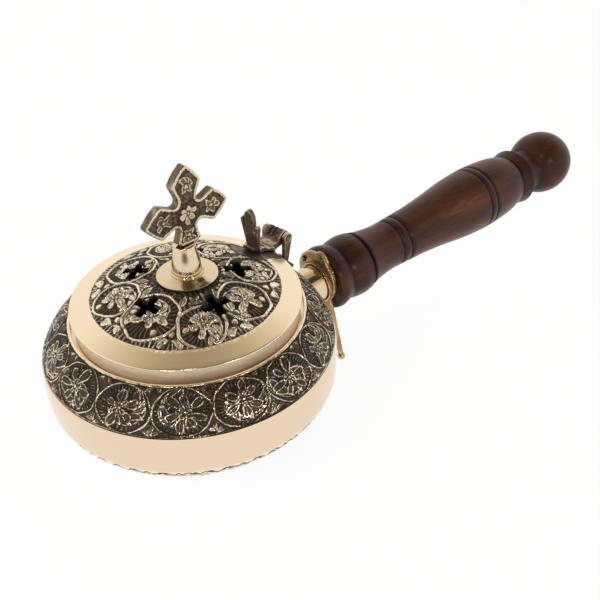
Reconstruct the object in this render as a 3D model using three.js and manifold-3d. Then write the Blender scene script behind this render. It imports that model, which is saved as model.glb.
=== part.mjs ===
// Hand censer: a round brass bowl with a hinged, pierced lid, a standing cross and a turned wooden handle.
// Millimetres, +Z up. The origin is the middle of the foot on the floor, and the handle leaves along +X.

import * as THREE from 'three';
import { mergeVertices } from 'three/addons/utils/BufferGeometryUtils.js';
import Module from 'manifold-3d';

const wasm = await Module();
wasm.setup();

// Gaps between pieces that touch or turn in each other
const seatGap = 0.3;
const pinGap = 0.25;

// Bowl, from the foot up
const footRadius = 26.5;
const footHeight = 1.2;
const footStep = 1;
const footPull = 12;
const cornerRadius = 8;
const cornerSweep = 33;
const cornerLevel = 22.3;
const cornerPull = 10;
const bellyRadius = 55.4;
const bellyHeight = 29.2;
const bandDraw = 0.66;
const bandHeight = 6.9;
const shoulderHeight = 12.5;
const shoulderSwell = 1.6;
const mouthRadius = 43.5;
const rimWidth = 0.9;
const bowlWall = 2.4;
const seatDepth = 2;
const seatWidth = 3.4;
const seatThickness = 2.2;

// Lid
const skirtPlay = 1.3;
const skirtWall = 1.7;
const skirtHeight = 6.4;
const lipThickness = 0.7;
const lipOverhang = 0.8;
const bevelRise = 2.2;
const bevelWidth = 7.3;
const domeRise = 6.9;
const lidWall = 2;

// Smoke openings in the lid, each a small cross
const openingCount = 5;
const openingRing = 19.7;
const openingTurn = 54.4;
const openingSpan = 10.4;
const openingArm = 3.4;

// Hinge behind the lid
const hingeTurn = 12;
const pinReach = 49.5;
const pinHeight = 57;
const pinRadius = 1.1;
const knuckleRadius = 2.6;
const knuckleLength = 8.4;
const earThickness = 1.8;
const earRadius = 2.3;
const earBaseInset = 0.95;
const earBaseWidth = 1.9;
const bracketWidth = 15;
const bracketThickness = 1.4;
const bracketLowAngle = 40;
const bracketHighAngle = 60;

// Plate, arm and thumb leaf on the lid
const hingePlateThickness = 1.5;
const hingePlateInner = 32.6;
const hingePlateWidth = 11;
const hingePlateInnerWidth = 5;
const armThickness = 2.4;
const armDip = 0.9;
const leafReach = 34.9;
const leafThickness = 2.2;
const leafLean = 5;
const leafShift = -0.8;
const leafHeight = 19;
const leafWidth = 4.4;
const leafFootWidth = 3.8;
const leafSideWidth = 1.3;
const leafSideSpan = 8.6;
const leafFarHeight = 15;
const leafNearHeight = 12.8;

// Rivets
const rivetRadius = 1.1;
const rivetHeadRadius = 1.9;
const rivetHeadHeight = 0.9;
const bracketRivetAngle = 50;
const lidRivetReach = 37.3;
const lidRivetSpacing = 4.6;

// Finial: base disc, collar and tapered stem
const finialOffsetX = 0.7;
const finialOffsetY = -0.5;
const discRadius = 11.1;
const discEdge = 0.4;
const collarRadius = 6;
const collarHeight = 1.1;
const stemBaseRadius = 5.5;
const stemTopRadius = 3.9;
const stemSwell = 0.45;
const stemHeight = 12.1;

// Cross on the stem
const crossYaw = 8.9;
const crossLean = 2.25;
const crossShift = 1.5;
const crossThickness = 3.5;
const crossCentreHeight = 11.7;
const crossCorner = 11.3;
const crossHalfWidth = 6.1;
const crossTip = 17.8;
const crossWaist = 3.3;
const crossNotch = 5.2;
const crossFootHalfWidth = 5;
const tangRadius = 1.6;
const tangDepth = 5;

// Stud, washer and nut that hold the finial
const studRadius = 1.6;
const studTail = 1;
const finialWasherRadius = 4;
const finialWasherThickness = 1;
const finialNutRadius = 3.3;
const finialNutThickness = 2.4;

// Handle line: a straight axis that climbs away from the bowl
const handleLevel = 27.85;
const handleClimb = 4.78;

// Socket tube and cast plate
const tubeRadius = 8.2;
const tubeWall = 2;
const plateReach = 62.4;
const plateRadius = 11.8;
const plateAcross = 1.2;
const plateAbove = 1.9;
const plateThickness = 1.8;
const ringWall = 0.8;
const ringHeight = 1.4;
const crownReach = 10.9;
const crownAngle = 98;
const crownRadius = 4.5;

// Leg of the plate, measured across and above the handle line
const legTopAcross = -5.3;
const legTopDrop = 7;
const legTopWidth = 3.7;
const legFootAcross = -15.4;
const legFootSetback = 2.3;
const legFootWidth = 2.2;
const legFootRadius = 1.8;

// Nail through the plate
const nailAcross = 9;
const nailAbove = 7.25;
const nailLean = 18;
const nailRadius = 0.8;
const nailHeadRadius = 1.3;
const nailHeadThickness = 0.5;
const nailLength = 8;

// Tang rod with its washer and nut inside the bowl
const rodRadius = 2.4;
const rodIntoWood = 30;
const rodTail = 1.5;
const rodWasherRadius = 5;
const rodWasherThickness = 1.2;
const rodNutRadius = 4.3;
const rodNutThickness = 3.2;

// Turned wood, as stretches that follow each other from the plate outwards
const woodFrontRadius = 13.7;
const frontBeadRadius = 14.2;
const frontBeadLength = 7.5;
const valleyRadius = 12.9;
const secondBeadRadius = 14;
const secondBeadLength = 12.1;
const deepGroove = 0.9;
const taperStartRadius = 12.9;
const taperLength = 19.4;
const waistRadius = 10.85;
const fineGroove = 0.5;
const grooveSpacing = 4.7;
const gripStartRadius = 11.1;
const gripLength = 48.6;
const crestRadius = 15.5;
const crestLength = 4.2;
const fallLength = 23;
const fallEndRadius = 12.9;
const woodCollarRadius = 13.1;
const woodCollarLength = 6;
const neckRadius = 9.6;
const neckLength = 9.8;
const ballRadius = 15.6;

// How finely round shapes are faceted
const bowlSegments = 60;
const lidSegments = 60;
const handleSegments = 32;
const smallSegments = 16;
const rivetSegments = 12;

const { degToRad } = THREE.MathUtils;
const point = (x, y) => new THREE.Vector2(x, y);

// Geometry helpers

// Leaves only positions, shares the vertices and drops the empty faces at the poles.
function closed(geometry) {
  geometry.deleteAttribute('normal');
  geometry.deleteAttribute('uv');
  geometry.clearGroups();
  const merged = mergeVertices(geometry);
  const faces = [];
  for (let i = 0; i < merged.index.count; i += 3) {
    const [a, b, c] = [0, 1, 2].map((k) => merged.index.getX(i + k));
    if (a !== b && b !== c && c !== a) faces.push(a, b, c);
  }
  merged.setIndex(faces);
  return merged;
}

// Turns a counter-clockwise outline of (radius, height) points about the Z axis.
function turned(outline, segments) {
  const lathe = new THREE.LatheGeometry([...outline, outline[0]], segments);
  return closed(lathe.rotateX(Math.PI / 2));
}

// A round bar along Z.
function bar(radius, low, high, segments = smallSegments) {
  return turned([point(0, low), point(radius, low), point(radius, high), point(0, high)], segments);
}

// A ring along Z.
function ring(inner, outer, low, high, segments = smallSegments) {
  return turned([point(inner, low), point(outer, low), point(outer, high), point(inner, high)], segments);
}

// A flat outline in X and Y, given thickness along Z from low to high.
function slab(outline, low, high) {
  const shape = new THREE.Shape(outline);
  const options = { depth: high - low, bevelEnabled: false, steps: 1 };
  return closed(new THREE.ExtrudeGeometry(shape, options).translate(0, 0, low));
}

// An outline of (across, height) points, standing up, with its thickness along Y from near to far.
function upright(outline, near, far) {
  return slab(outline, -far, -near).rotateX(Math.PI / 2);
}

// Points of an ellipse between two angles in radians.
function arc(x, y, radiusX, radiusY, from, to, steps) {
  const points = [];
  for (let i = 0; i <= steps; i += 1) {
    const angle = from + ((to - from) * i) / steps;
    points.push(point(x + radiusX * Math.cos(angle), y + radiusY * Math.sin(angle)));
  }
  return points;
}

function solid(geometry) {
  const { position } = geometry.attributes;
  const mesh = new wasm.Mesh({
    numProp: 3,
    vertProperties: new Float32Array(position.array),
    triVerts: new Uint32Array(geometry.index.array),
  });
  return new wasm.Manifold(mesh);
}

function surface(manifold) {
  const mesh = manifold.getMesh();
  const geometry = new THREE.BufferGeometry();
  geometry.setAttribute('position', new THREE.BufferAttribute(mesh.vertProperties, 3));
  geometry.setIndex(new THREE.BufferAttribute(mesh.triVerts, 1));
  return geometry;
}

function cut(body, ...tools) {
  return surface(tools.reduce((whole, tool) => whole.subtract(solid(tool)), solid(body)));
}

function join(...bodies) {
  return surface(bodies.slice(1).reduce((whole, body) => whole.add(solid(body)), solid(bodies[0])));
}

function shared(a, b) {
  return surface(solid(a).intersect(solid(b)));
}

// A copy of a geometry that is given in one group's frame, as it lies in the frame of another.
function seenFrom(target, geometry, source = new THREE.Group()) {
  target.updateWorldMatrix(true, false);
  source.updateWorldMatrix(true, false);
  const move = target.matrixWorld.clone().invert().multiply(source.matrixWorld);
  return geometry.clone().applyMatrix4(move);
}

function finish(color, roughness, metalness) {
  return () => new THREE.MeshStandardMaterial({ color, roughness, metalness, flatShading: true });
}

function piece(name, geometry, material) {
  const mesh = new THREE.Mesh(geometry, material());
  mesh.name = name;
  return mesh;
}

const engravedBrass = finish(0xb9a57c, 0.35, 1);
const polishedBrass = finish(0xe6cfa0, 0.16, 1);
const agedBronze = finish(0x6f5f45, 0.42, 1);
const castBrass = finish(0xb98f4e, 0.38, 1);
const plainSteel = finish(0x9a9a98, 0.35, 1);
const darkWood = finish(0x552c1c, 0.38, 0);

// Frames: the hinge is turned about Z, the handle frame has X across, Y up and Z along the handle
const censer = new THREE.Group();

const hingeFrame = new THREE.Group();
hingeFrame.rotation.z = degToRad(hingeTurn);

const handleFrame = new THREE.Group();
const climb = degToRad(handleClimb);
handleFrame.position.z = handleLevel;
handleFrame.quaternion.setFromRotationMatrix(new THREE.Matrix4().makeBasis(
  new THREE.Vector3(0, 1, 0),
  new THREE.Vector3(-Math.sin(climb), 0, Math.cos(climb)),
  new THREE.Vector3(Math.cos(climb), 0, Math.sin(climb)),
));

const lidGroup = new THREE.Group();
const lidHingeFrame = new THREE.Group();
lidHingeFrame.rotation.z = hingeFrame.rotation.z;

const finialFrame = new THREE.Group();
const crossFrame = new THREE.Group();

censer.add(hingeFrame, handleFrame, lidGroup);
lidGroup.add(lidHingeFrame, finialFrame);
finialFrame.add(crossFrame);

// Levels and radii that follow from the driving sizes
const footTop = footRadius + footStep;
const bandTop = bellyHeight + bandHeight;
const rimLevel = bandTop + shoulderHeight;
const mouthBore = mouthRadius - rimWidth;
const seatLevel = rimLevel - seatDepth;
const seatBore = mouthBore - seatWidth;
const skirtRadius = mouthBore - skirtPlay;
const skirtBore = skirtRadius - skirtWall;
const skirtLevel = seatLevel + seatGap;
const lipLevel = skirtLevel + skirtHeight;
const edgeLevel = lipLevel + lipThickness;
const edgeRadius = skirtRadius + lipOverhang;
const domeRadius = edgeRadius - bevelWidth;
const domeLevel = edgeLevel + bevelRise;
const domeTop = domeLevel + domeRise;

// Arc of the plain belly band, upright where the bowl is widest
const bandArc = (bandHeight ** 2 + bandDraw ** 2) / (2 * bandDraw);
const bandAngle = Math.asin(bandHeight / bandArc);

// Arc of the engraved shoulder, through the top of the band and the mouth rim
const bandTopRadius = bellyRadius - bandDraw;
const shoulderDraw = bandTopRadius - mouthRadius;
const shoulderChord = Math.hypot(shoulderDraw, shoulderHeight);
const shoulderArc = shoulderChord ** 2 / (8 * shoulderSwell) + shoulderSwell / 2;
const shoulderHalfAngle = Math.asin(shoulderChord / 2 / shoulderArc);
const shoulderMidAngle = Math.atan2(shoulderDraw, shoulderHeight);
const shoulderLow = shoulderMidAngle - shoulderHalfAngle;
const shoulderHigh = shoulderMidAngle + shoulderHalfAngle;
const shoulderX = mouthRadius - shoulderArc * Math.cos(shoulderHigh);
const shoulderZ = rimLevel - shoulderArc * Math.sin(shoulderHigh);

// The inner wall follows the shoulder up to the underside of the seat
const innerShoulderShare = 0.85;

function shoulderPoints(offset, from, to, steps) {
  const radius = shoulderArc + offset;
  return arc(shoulderX, shoulderZ, radius, radius, from, to, steps);
}

// Moves the points of an outline sideways, outwards by a positive offset.
function moved(points, offset) {
  return points.map((p, i) => {
    const before = points[Math.max(i - 1, 0)];
    const after = points[Math.min(i + 1, points.length - 1)];
    const along = after.clone().sub(before).normalize();
    return point(p.x + along.y * offset, p.y - along.x * offset);
  });
}

// Outside of the bowl from above the foot to an angle on the shoulder, moved outwards by offset
function bowlCurve(offset, lastAngle) {
  const sweep = degToRad(cornerSweep);
  const corner = arc(bellyRadius - cornerRadius, cornerLevel, cornerRadius, cornerRadius, -sweep, 0, 2);
  const [low] = corner;
  const underside = new THREE.CubicBezierCurve(
    point(footTop, footHeight),
    point(footTop + footPull, footHeight),
    point(low.x - cornerPull * Math.sin(sweep), low.y - cornerPull * Math.cos(sweep)),
    low,
  );
  const band = arc(bellyRadius - bandArc, bellyHeight, bandArc, bandArc, 0, bandAngle, 2);
  const shoulder = shoulderPoints(0, shoulderLow, lastAngle, 4);
  return moved([
    ...underside.getPoints(4).slice(0, -1),
    ...corner,
    ...band.slice(0, -1),
    ...shoulder,
  ], offset);
}

// The space that the closed bowl fills, grown by an offset, to fit other pieces against it
function bowlBlock(offset) {
  const outline = [
    point(0, footHeight - offset),
    ...bowlCurve(offset, shoulderHigh),
    point(0, rimLevel + offset),
  ];
  return turned(outline, bowlSegments);
}

// Half the room between the ears, and the outside of the ears
const earInside = knuckleLength / 2 + seatGap;
const earOutside = earInside + earThickness;

// Bowl
const handleBore = bar(rodRadius + seatGap, 0, plateReach);

// The bracket's rivets stand on the shoulder, close inside the ears
function bracketRivetFrame(side) {
  const turn = new THREE.Group();
  const [place] = shoulderPoints(0, degToRad(bracketRivetAngle), 0, 1);
  turn.rotation.z = side * Math.asin((earInside - rivetHeadRadius - seatGap) / place.x);
  const seat = new THREE.Group();
  seat.position.set(place.x, 0, place.y);
  seat.rotation.y = Math.PI / 2 - degToRad(bracketRivetAngle);
  hingeFrame.add(turn);
  turn.add(seat);
  return seat;
}

const bracketRivetSeats = [bracketRivetFrame(-1), bracketRivetFrame(1)];
const rivetBore = bar(rivetRadius + seatGap, -3 * bowlWall, 3 * bowlWall);

function buildBowl() {
  const innerEnd = shoulderLow + innerShoulderShare * (shoulderHigh - shoulderLow);
  const outline = [
    point(0, 0),
    point(footRadius, 0),
    point(footRadius, footHeight),
    ...bowlCurve(0, shoulderHigh),
    point(mouthBore, rimLevel),
    point(mouthBore, seatLevel),
    point(seatBore, seatLevel),
    point(seatBore, seatLevel - seatThickness),
    ...bowlCurve(-bowlWall, innerEnd).reverse(),
    point(0, footHeight + bowlWall),
  ];
  const holes = bracketRivetSeats.map((seat) => seenFrom(censer, rivetBore, seat));
  return cut(turned(outline, bowlSegments), seenFrom(censer, handleBore, handleFrame), ...holes);
}

censer.add(piece('bowl', buildBowl(), engravedBrass));

// Hinge bracket: a foot that follows the shoulder and two ears around the knuckle
function buildBracket() {
  const low = degToRad(bracketLowAngle);
  const high = degToRad(bracketHighAngle);
  const footSection = [
    ...shoulderPoints(seatGap + bracketThickness, low, high, 4),
    ...shoulderPoints(seatGap, high, low, 4),
  ];
  const half = bracketWidth / 2;
  const mask = slab([
    point(0, -half), point(bellyRadius, -half), point(bellyRadius, half), point(0, half),
  ], 0, rimLevel + bracketThickness);
  const band = seenFrom(hingeFrame, turned(footSection, bowlSegments), censer);
  const foot = shared(band, mask);

  const [base] = shoulderPoints(0, degToRad(bracketRivetAngle), 0, 1);
  const innerFoot = point(base.x - earBaseInset, base.y - 1);
  const outerFoot = point(base.x - earBaseInset + earBaseWidth, base.y - 1);
  const head = arc(pinReach, pinHeight, earRadius, earRadius, -0.2, Math.PI + 0.2, 12);
  const earOutline = [innerFoot, outerFoot, ...head];
  const nearEar = upright(earOutline, -earOutside, -earInside);
  const farEar = upright(earOutline, earInside, earOutside);

  const pinHole = bar(pinRadius + pinGap, -bracketWidth, bracketWidth)
    .rotateX(Math.PI / 2)
    .translate(pinReach, 0, pinHeight);
  const rivetHoles = bracketRivetSeats.map((seat) => seenFrom(hingeFrame, rivetBore, seat));
  const clearOfBowl = seenFrom(hingeFrame, bowlBlock(seatGap), censer);
  return cut(join(foot, nearEar, farEar), clearOfBowl, pinHole, ...rivetHoles);
}

hingeFrame.add(piece('hinge_bracket', buildBracket(), castBrass));

// A domed rivet head that rises along Z from a level.
function dome(level, rise) {
  return [
    point(rivetHeadRadius, level),
    point(rivetHeadRadius * 0.8, level + rise * 0.7),
    point(rivetHeadRadius * 0.4, level + rise),
  ];
}

// A rivet through a bracket and a wall: domed outside and inside.
function buildBracketRivet() {
  const outside = bracketThickness + 2 * seatGap;
  const inside = -bowlWall - seatGap;
  return turned([
    point(0, inside - rivetHeadHeight),
    ...dome(inside, -rivetHeadHeight).reverse(),
    point(rivetRadius, inside),
    point(rivetRadius, outside),
    ...dome(outside, rivetHeadHeight),
    point(0, outside + rivetHeadHeight),
  ], rivetSegments);
}

bracketRivetSeats.forEach((seat, index) => {
  seat.add(piece(`bracket_rivet_${index + 1}`, buildBracketRivet(), castBrass));
});

// Hinge pin
const pinHalf = earOutside;
const pin = piece('hinge_pin', bar(pinRadius, -pinHalf, pinHalf), plainSteel);
pin.position.set(pinReach, 0, pinHeight);
pin.rotation.x = Math.PI / 2;
hingeFrame.add(pin);

// Height of the lid's top at a distance from its middle, on the dome and on the bevel
function lidTopAt(radius) {
  if (radius < domeRadius) return domeTop - domeRise * (radius / domeRadius) ** 2;
  return domeLevel - (bevelRise * (radius - domeRadius)) / bevelWidth;
}

function domePoints(drop, reach, steps) {
  const points = [];
  for (let i = 0; i <= steps; i += 1) {
    const radius = (reach * i) / steps;
    points.push(point(radius, lidTopAt(radius) - drop));
  }
  return points;
}

// The space under the lid's top, raised by an offset, to fit other pieces on it
function lidBlock(offset) {
  return turned([
    point(0, skirtLevel),
    point(edgeRadius + offset, skirtLevel),
    point(edgeRadius + offset, edgeLevel + offset),
    point(domeRadius, domeLevel + offset),
    ...domePoints(-offset, domeRadius, 5).reverse().slice(1),
  ], lidSegments);
}

// Finial frame stands on top of the dome, the cross frame on top of the stem
finialFrame.position.set(finialOffsetX, finialOffsetY, domeTop);
crossFrame.position.z = stemHeight;
crossFrame.rotation.order = 'ZYX';
crossFrame.rotation.z = degToRad(crossYaw);
crossFrame.rotation.y = degToRad(crossLean);

function lidRivetFrame(side) {
  const seat = new THREE.Group();
  const level = lidTopAt(Math.hypot(lidRivetReach, lidRivetSpacing / 2));
  const slope = Math.atan(bevelRise / bevelWidth);
  seat.position.set(lidRivetReach, (side * lidRivetSpacing) / 2, level);
  seat.rotation.y = slope;
  lidHingeFrame.add(seat);
  return seat;
}

const lidRivetSeats = [lidRivetFrame(-1), lidRivetFrame(1)];
const lidRivetBore = bar(rivetRadius + seatGap, -3 * lidWall, 3 * lidWall);

// Lid: dome, bevelled flange and skirt, pierced with crosses
function openingOutline() {
  const long = openingSpan / 2;
  const short = openingArm / 2;
  const corners = [point(long, -short), point(long, short), point(short, short)];
  const outline = [];
  for (let quarter = 0; quarter < 4; quarter += 1) {
    const turn = (quarter * Math.PI) / 2;
    corners.forEach((corner) => outline.push(corner.clone().rotateAround(point(0, 0), turn)));
  }
  return outline;
}

function buildLid() {
  const innerDome = domeRadius - 1;
  const outline = [
    ...domePoints(lidWall, innerDome, 3),
    point(skirtBore, lidTopAt(skirtBore) - lidWall),
    point(skirtBore, skirtLevel),
    point(skirtRadius, skirtLevel),
    point(skirtRadius, lipLevel),
    point(edgeRadius, lipLevel),
    point(edgeRadius, edgeLevel),
    ...domePoints(0, domeRadius, 5).reverse(),
  ];
  const holes = [];
  for (let i = 0; i < openingCount; i += 1) {
    const hole = slab(openingOutline(), skirtLevel, domeTop + lidWall);
    hole.translate(openingRing, 0, 0);
    hole.rotateZ(degToRad(openingTurn + (360 * i) / openingCount));
    holes.push(hole);
  }
  holes.push(seenFrom(lidGroup, bar(studRadius + seatGap, -3 * lidWall, lidWall), finialFrame));
  lidRivetSeats.forEach((seat) => holes.push(seenFrom(lidGroup, lidRivetBore, seat)));
  return cut(turned(outline, lidSegments), ...holes);
}

lidGroup.add(piece('lid', buildLid(), engravedBrass));

// Hinge plate on the lid with the knuckle arm and the three-lobed thumb leaf, which leans inwards
function leafLobe(across, width, footAcross, footWidth, height) {
  const tip = height - 0.9 * width;
  return [
    point(footAcross - footWidth / 2, -hingePlateThickness),
    point(footAcross + footWidth / 2, -hingePlateThickness),
    ...arc(across, tip, width / 2, height - tip, 0, Math.PI, 8),
  ];
}

function buildLidHinge() {
  const plateTop = seatGap + hingePlateThickness;
  const innerTop = lidTopAt(hingePlateInner) + plateTop;
  const outerEdge = edgeRadius + seatGap + 0.5;
  const plateHalf = hingePlateWidth / 2;
  const innerHalf = hingePlateInnerWidth / 2;
  const plateSection = [
    point(hingePlateInner, skirtLevel),
    point(outerEdge, skirtLevel),
    point(outerEdge, edgeLevel + plateTop),
    point(domeRadius, domeLevel + plateTop),
    point(hingePlateInner, innerTop),
  ];
  const plate = shared(
    seenFrom(lidHingeFrame, turned(plateSection, lidSegments), lidGroup),
    slab([
      point(hingePlateInner - 1, -innerHalf),
      point(outerEdge, -plateHalf),
      point(outerEdge, plateHalf),
      point(hingePlateInner - 1, innerHalf),
    ], lipLevel, domeTop),
  );

  const armHalf = knuckleLength / 2;
  const armRoot = lidTopAt(leafReach) + plateTop;
  const armLow = edgeLevel + plateTop - armThickness;
  const armOutline = [
    point(leafReach, armLow),
    point(outerEdge, armLow),
    ...arc(pinReach, pinHeight, knuckleRadius, knuckleRadius, -Math.PI / 2, Math.PI * 0.6, 10),
    point((outerEdge + pinReach - knuckleRadius) / 2, pinHeight - armDip / 2),
    point(outerEdge - 1, pinHeight - armDip),
    point(leafReach + leafThickness, armRoot),
    point(leafReach, armRoot),
  ];
  const arm = upright(armOutline, -armHalf, armHalf);

  const sideAcross = (leafSideSpan - leafSideWidth) / 2;
  const sideFoot = (leafFootWidth - leafSideWidth) / 2;
  const lobes = [
    leafLobe(0, leafWidth, 0, leafFootWidth, leafHeight),
    leafLobe(sideAcross, leafSideWidth, sideFoot, leafSideWidth, leafFarHeight),
    leafLobe(-sideAcross, leafSideWidth, -sideFoot, leafSideWidth, leafNearHeight),
  ].map((outline) => {
    const lobe = upright(outline, -leafThickness / 2, leafThickness / 2);
    return lobe.rotateZ(Math.PI / 2)
      .rotateY(-degToRad(leafLean))
      .translate(leafReach, leafShift, lidTopAt(leafReach));
  });

  const pinHole = bar(pinRadius + pinGap, -knuckleLength, knuckleLength)
    .rotateX(Math.PI / 2)
    .translate(pinReach, 0, pinHeight);
  const clearOfLid = seenFrom(lidHingeFrame, lidBlock(seatGap), lidGroup);
  const rivetHoles = lidRivetSeats.map((seat) => seenFrom(lidHingeFrame, lidRivetBore, seat));
  return cut(join(plate, arm, ...lobes), clearOfLid, pinHole, ...rivetHoles);
}

lidHingeFrame.add(piece('lid_hinge', buildLidHinge(), agedBronze));

// A rivet that is filed flush on top and domed under the lid.
function buildLidRivet() {
  const inside = -lidWall - seatGap;
  const flush = hingePlateThickness + seatGap;
  return turned([
    point(0, inside - rivetHeadHeight),
    ...dome(inside, -rivetHeadHeight).reverse(),
    point(rivetRadius, inside),
    point(rivetRadius, flush),
    point(0, flush),
  ], rivetSegments);
}

lidRivetSeats.forEach((seat, index) => {
  seat.add(piece(`lid_rivet_${index + 1}`, buildLidRivet(), castBrass));
});

// Finial stem with its base disc and collar
function buildStem() {
  const discTop = lidTopAt(discRadius) - domeTop + seatGap + discEdge;
  const stemStart = discTop + collarHeight + collarRadius / 10;
  const stem = new THREE.QuadraticBezierCurve(
    point(stemBaseRadius, stemStart),
    point(stemBaseRadius - stemSwell / 2, (stemStart + stemHeight) / 2 + stemSwell),
    point(stemTopRadius, stemHeight),
  );
  const outline = [
    point(0, -domeRise),
    point(discRadius, -domeRise),
    point(discRadius, discTop),
    point(collarRadius, stemStart - collarHeight / 2),
    point(collarRadius, stemStart - collarHeight / 4),
    ...stem.getPoints(4),
    point(0, stemHeight),
  ];
  const clearOfLid = seenFrom(finialFrame, lidBlock(seatGap), lidGroup);
  const bore = bar(studRadius + seatGap, -2 * domeRise, 2 * stemHeight);
  return cut(turned(outline, handleSegments), clearOfLid, bore);
}

finialFrame.add(piece('finial_stem', buildStem(), polishedBrass));

// Cross: four flared arms with pointed ends, rounded notches between them and a tang below
function crossOutline() {
  const notchRound = crossNotch - crossWaist;
  const arm = [
    point(crossWaist, crossNotch),
    point(crossHalfWidth, crossCorner),
    point(0, crossTip),
    point(-crossHalfWidth, crossCorner),
    point(-crossWaist, crossNotch),
  ];
  const outline = [];
  [-1, 0, 1].forEach((quarter) => {
    const turn = (quarter * Math.PI) / 2;
    arm.forEach((corner) => outline.push(corner.clone().rotateAround(point(0, 0), turn)));
  });
  const low = seatGap - crossCentreHeight;
  outline.push(point(-crossWaist, -crossNotch));
  outline.push(point(-crossFootHalfWidth, low + notchRound / 2));
  outline.push(point(-crossWaist - crossShift / 2, low));
  outline.push(point(crossWaist - crossShift / 2, low));
  outline.push(point(crossFootHalfWidth, low + notchRound / 2));
  outline.push(point(crossWaist, -crossNotch));
  return outline.map((corner) => corner.add(point(crossShift, crossCentreHeight)));
}

function buildCross() {
  const half = crossThickness / 2;
  const tang = bar(tangRadius, -tangDepth, crossCentreHeight / 4);
  return join(upright(crossOutline(), -half, half), tang);
}

crossFrame.add(piece('cross', buildCross(), agedBronze));

// Stud, washer and nut under the lid
const washerTop = -lidWall - seatGap - domeRise * ((finialWasherRadius + Math.abs(finialOffsetX)) / domeRadius) ** 2;
const nutTop = washerTop - finialWasherThickness - seatGap;
const nutLow = nutTop - finialNutThickness;
const studTop = stemHeight - tangDepth - seatGap;

finialFrame.add(
  piece('finial_stud', bar(studRadius, nutLow - studTail, studTop), plainSteel),
  piece(
    'finial_washer',
    ring(studRadius + seatGap, finialWasherRadius, washerTop - finialWasherThickness, washerTop),
    plainSteel,
  ),
  piece('finial_nut', cut(
    bar(finialNutRadius, nutLow, nutTop, 6),
    bar(studRadius + seatGap, nutLow - 1, nutTop + 1),
  ), plainSteel),
);

// Socket tube: its near end follows the bowl, its far end sits in the ring of the plate
const tubeBore = tubeRadius - tubeWall;

function buildTube() {
  const body = ring(tubeBore, tubeRadius, plateReach - bellyRadius / 2, plateReach - seatGap, handleSegments);
  return cut(body, seenFrom(handleFrame, bowlBlock(seatGap), censer));
}

handleFrame.add(piece('socket_tube', buildTube(), polishedBrass));

// Handle plate: disc off the handle line, cast crown on top, ring round the tube and the leg to the floor
const plateBack = plateReach + plateThickness;
const woodFront = plateBack + seatGap;

const nailFrame = new THREE.Group();
nailFrame.position.set(nailAcross, nailAbove, plateReach);
nailFrame.rotation.order = 'ZYX';
nailFrame.rotation.z = Math.atan2(nailAbove, nailAcross);
nailFrame.rotation.y = -degToRad(nailLean);
handleFrame.add(nailFrame);
const nailBore = bar(nailRadius + seatGap, -nailLength, nailLength + seatGap, rivetSegments);

// Point of the handle frame at a distance along the handle, where a height above the floor is reached
function dropToFloor(along, height) {
  return (height - handleLevel - along * Math.sin(climb)) / Math.cos(climb);
}

// A bar with four sides between two rectangles that lie across the handle line.
function leg(top, foot) {
  const direction = new THREE.Vector2(foot.x - top.x, foot.y - top.y).normalize();
  const side = point(-direction.y, direction.x);
  const corners = [top, foot].flatMap(({ x, y, from, to, width }) => {
    const dx = (side.x * width) / 2;
    const dy = (side.y * width) / 2;
    return [
      [x - dx, y - dy, from], [x + dx, y + dy, from], [x + dx, y + dy, to], [x - dx, y - dy, to],
    ];
  });
  const faces = [0, 2, 1, 0, 3, 2, 4, 5, 6, 4, 6, 7];
  for (let i = 0; i < 4; i += 1) {
    const j = (i + 1) % 4;
    faces.push(i, j, j + 4, i, j + 4, i + 4);
  }
  const geometry = new THREE.BufferGeometry();
  geometry.setAttribute('position', new THREE.Float32BufferAttribute(corners.flat(), 3));
  geometry.setIndex(faces);
  return geometry;
}

function buildPlate() {
  const disc = bar(plateRadius, plateReach, plateBack, handleSegments);
  disc.translate(plateAcross, plateAbove, 0);
  const collar = bar(tubeRadius + seatGap + ringWall, plateReach - ringHeight, plateBack, handleSegments);
  const socket = bar(tubeRadius + seatGap, 0, plateReach, handleSegments);
  const crown = bar(crownRadius, plateReach, plateBack);
  const crownTurn = degToRad(crownAngle);
  crown.translate(crownReach * Math.cos(crownTurn), crownReach * Math.sin(crownTurn), 0);

  const footAlong = plateReach - legFootSetback;
  const footLevel = dropToFloor(footAlong, legFootRadius / 2);
  const strap = leg(
    { x: legTopAcross, y: -legTopDrop, from: plateReach, to: plateBack, width: legTopWidth },
    { x: legFootAcross, y: footLevel, from: footAlong, to: footAlong + plateThickness, width: legFootWidth },
  );
  const toe = closed(new THREE.SphereGeometry(legFootRadius, rivetSegments, 8));
  toe.translate(legFootAcross, footLevel, footAlong + plateThickness / 2);

  const below = slab([
    point(0, -bellyRadius), point(2 * bellyRadius, -bellyRadius),
    point(2 * bellyRadius, bellyRadius), point(0, bellyRadius),
  ], -bellyRadius, 0);
  return cut(
    join(disc, collar, crown, strap, toe),
    socket,
    bar(rodRadius + seatGap, plateReach - 1, plateBack + 1),
    seenFrom(handleFrame, nailBore, nailFrame),
    seenFrom(handleFrame, below, censer),
  );
}

handleFrame.add(piece('handle_plate', buildPlate(), castBrass));

// Nail through the plate into the wood; its leaning head stands clear of the plate all round
const nailSeat = -seatGap - nailHeadRadius * Math.sin(degToRad(nailLean));

nailFrame.add(piece('plate_nail', turned([
  point(0, nailSeat - nailHeadThickness),
  point(nailHeadRadius, nailSeat - nailHeadThickness),
  point(nailHeadRadius, nailSeat),
  point(nailRadius, nailSeat),
  point(nailRadius, nailLength - nailRadius),
  point(0, nailLength),
], rivetSegments), plainSteel));

// Wooden handle, turned about the handle line, given from its front end outwards
function grooveAt(path, radius, along, depth) {
  path.lineTo(radius, along - depth);
  path.lineTo(radius - depth, along);
  path.lineTo(radius, along + depth);
}

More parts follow.
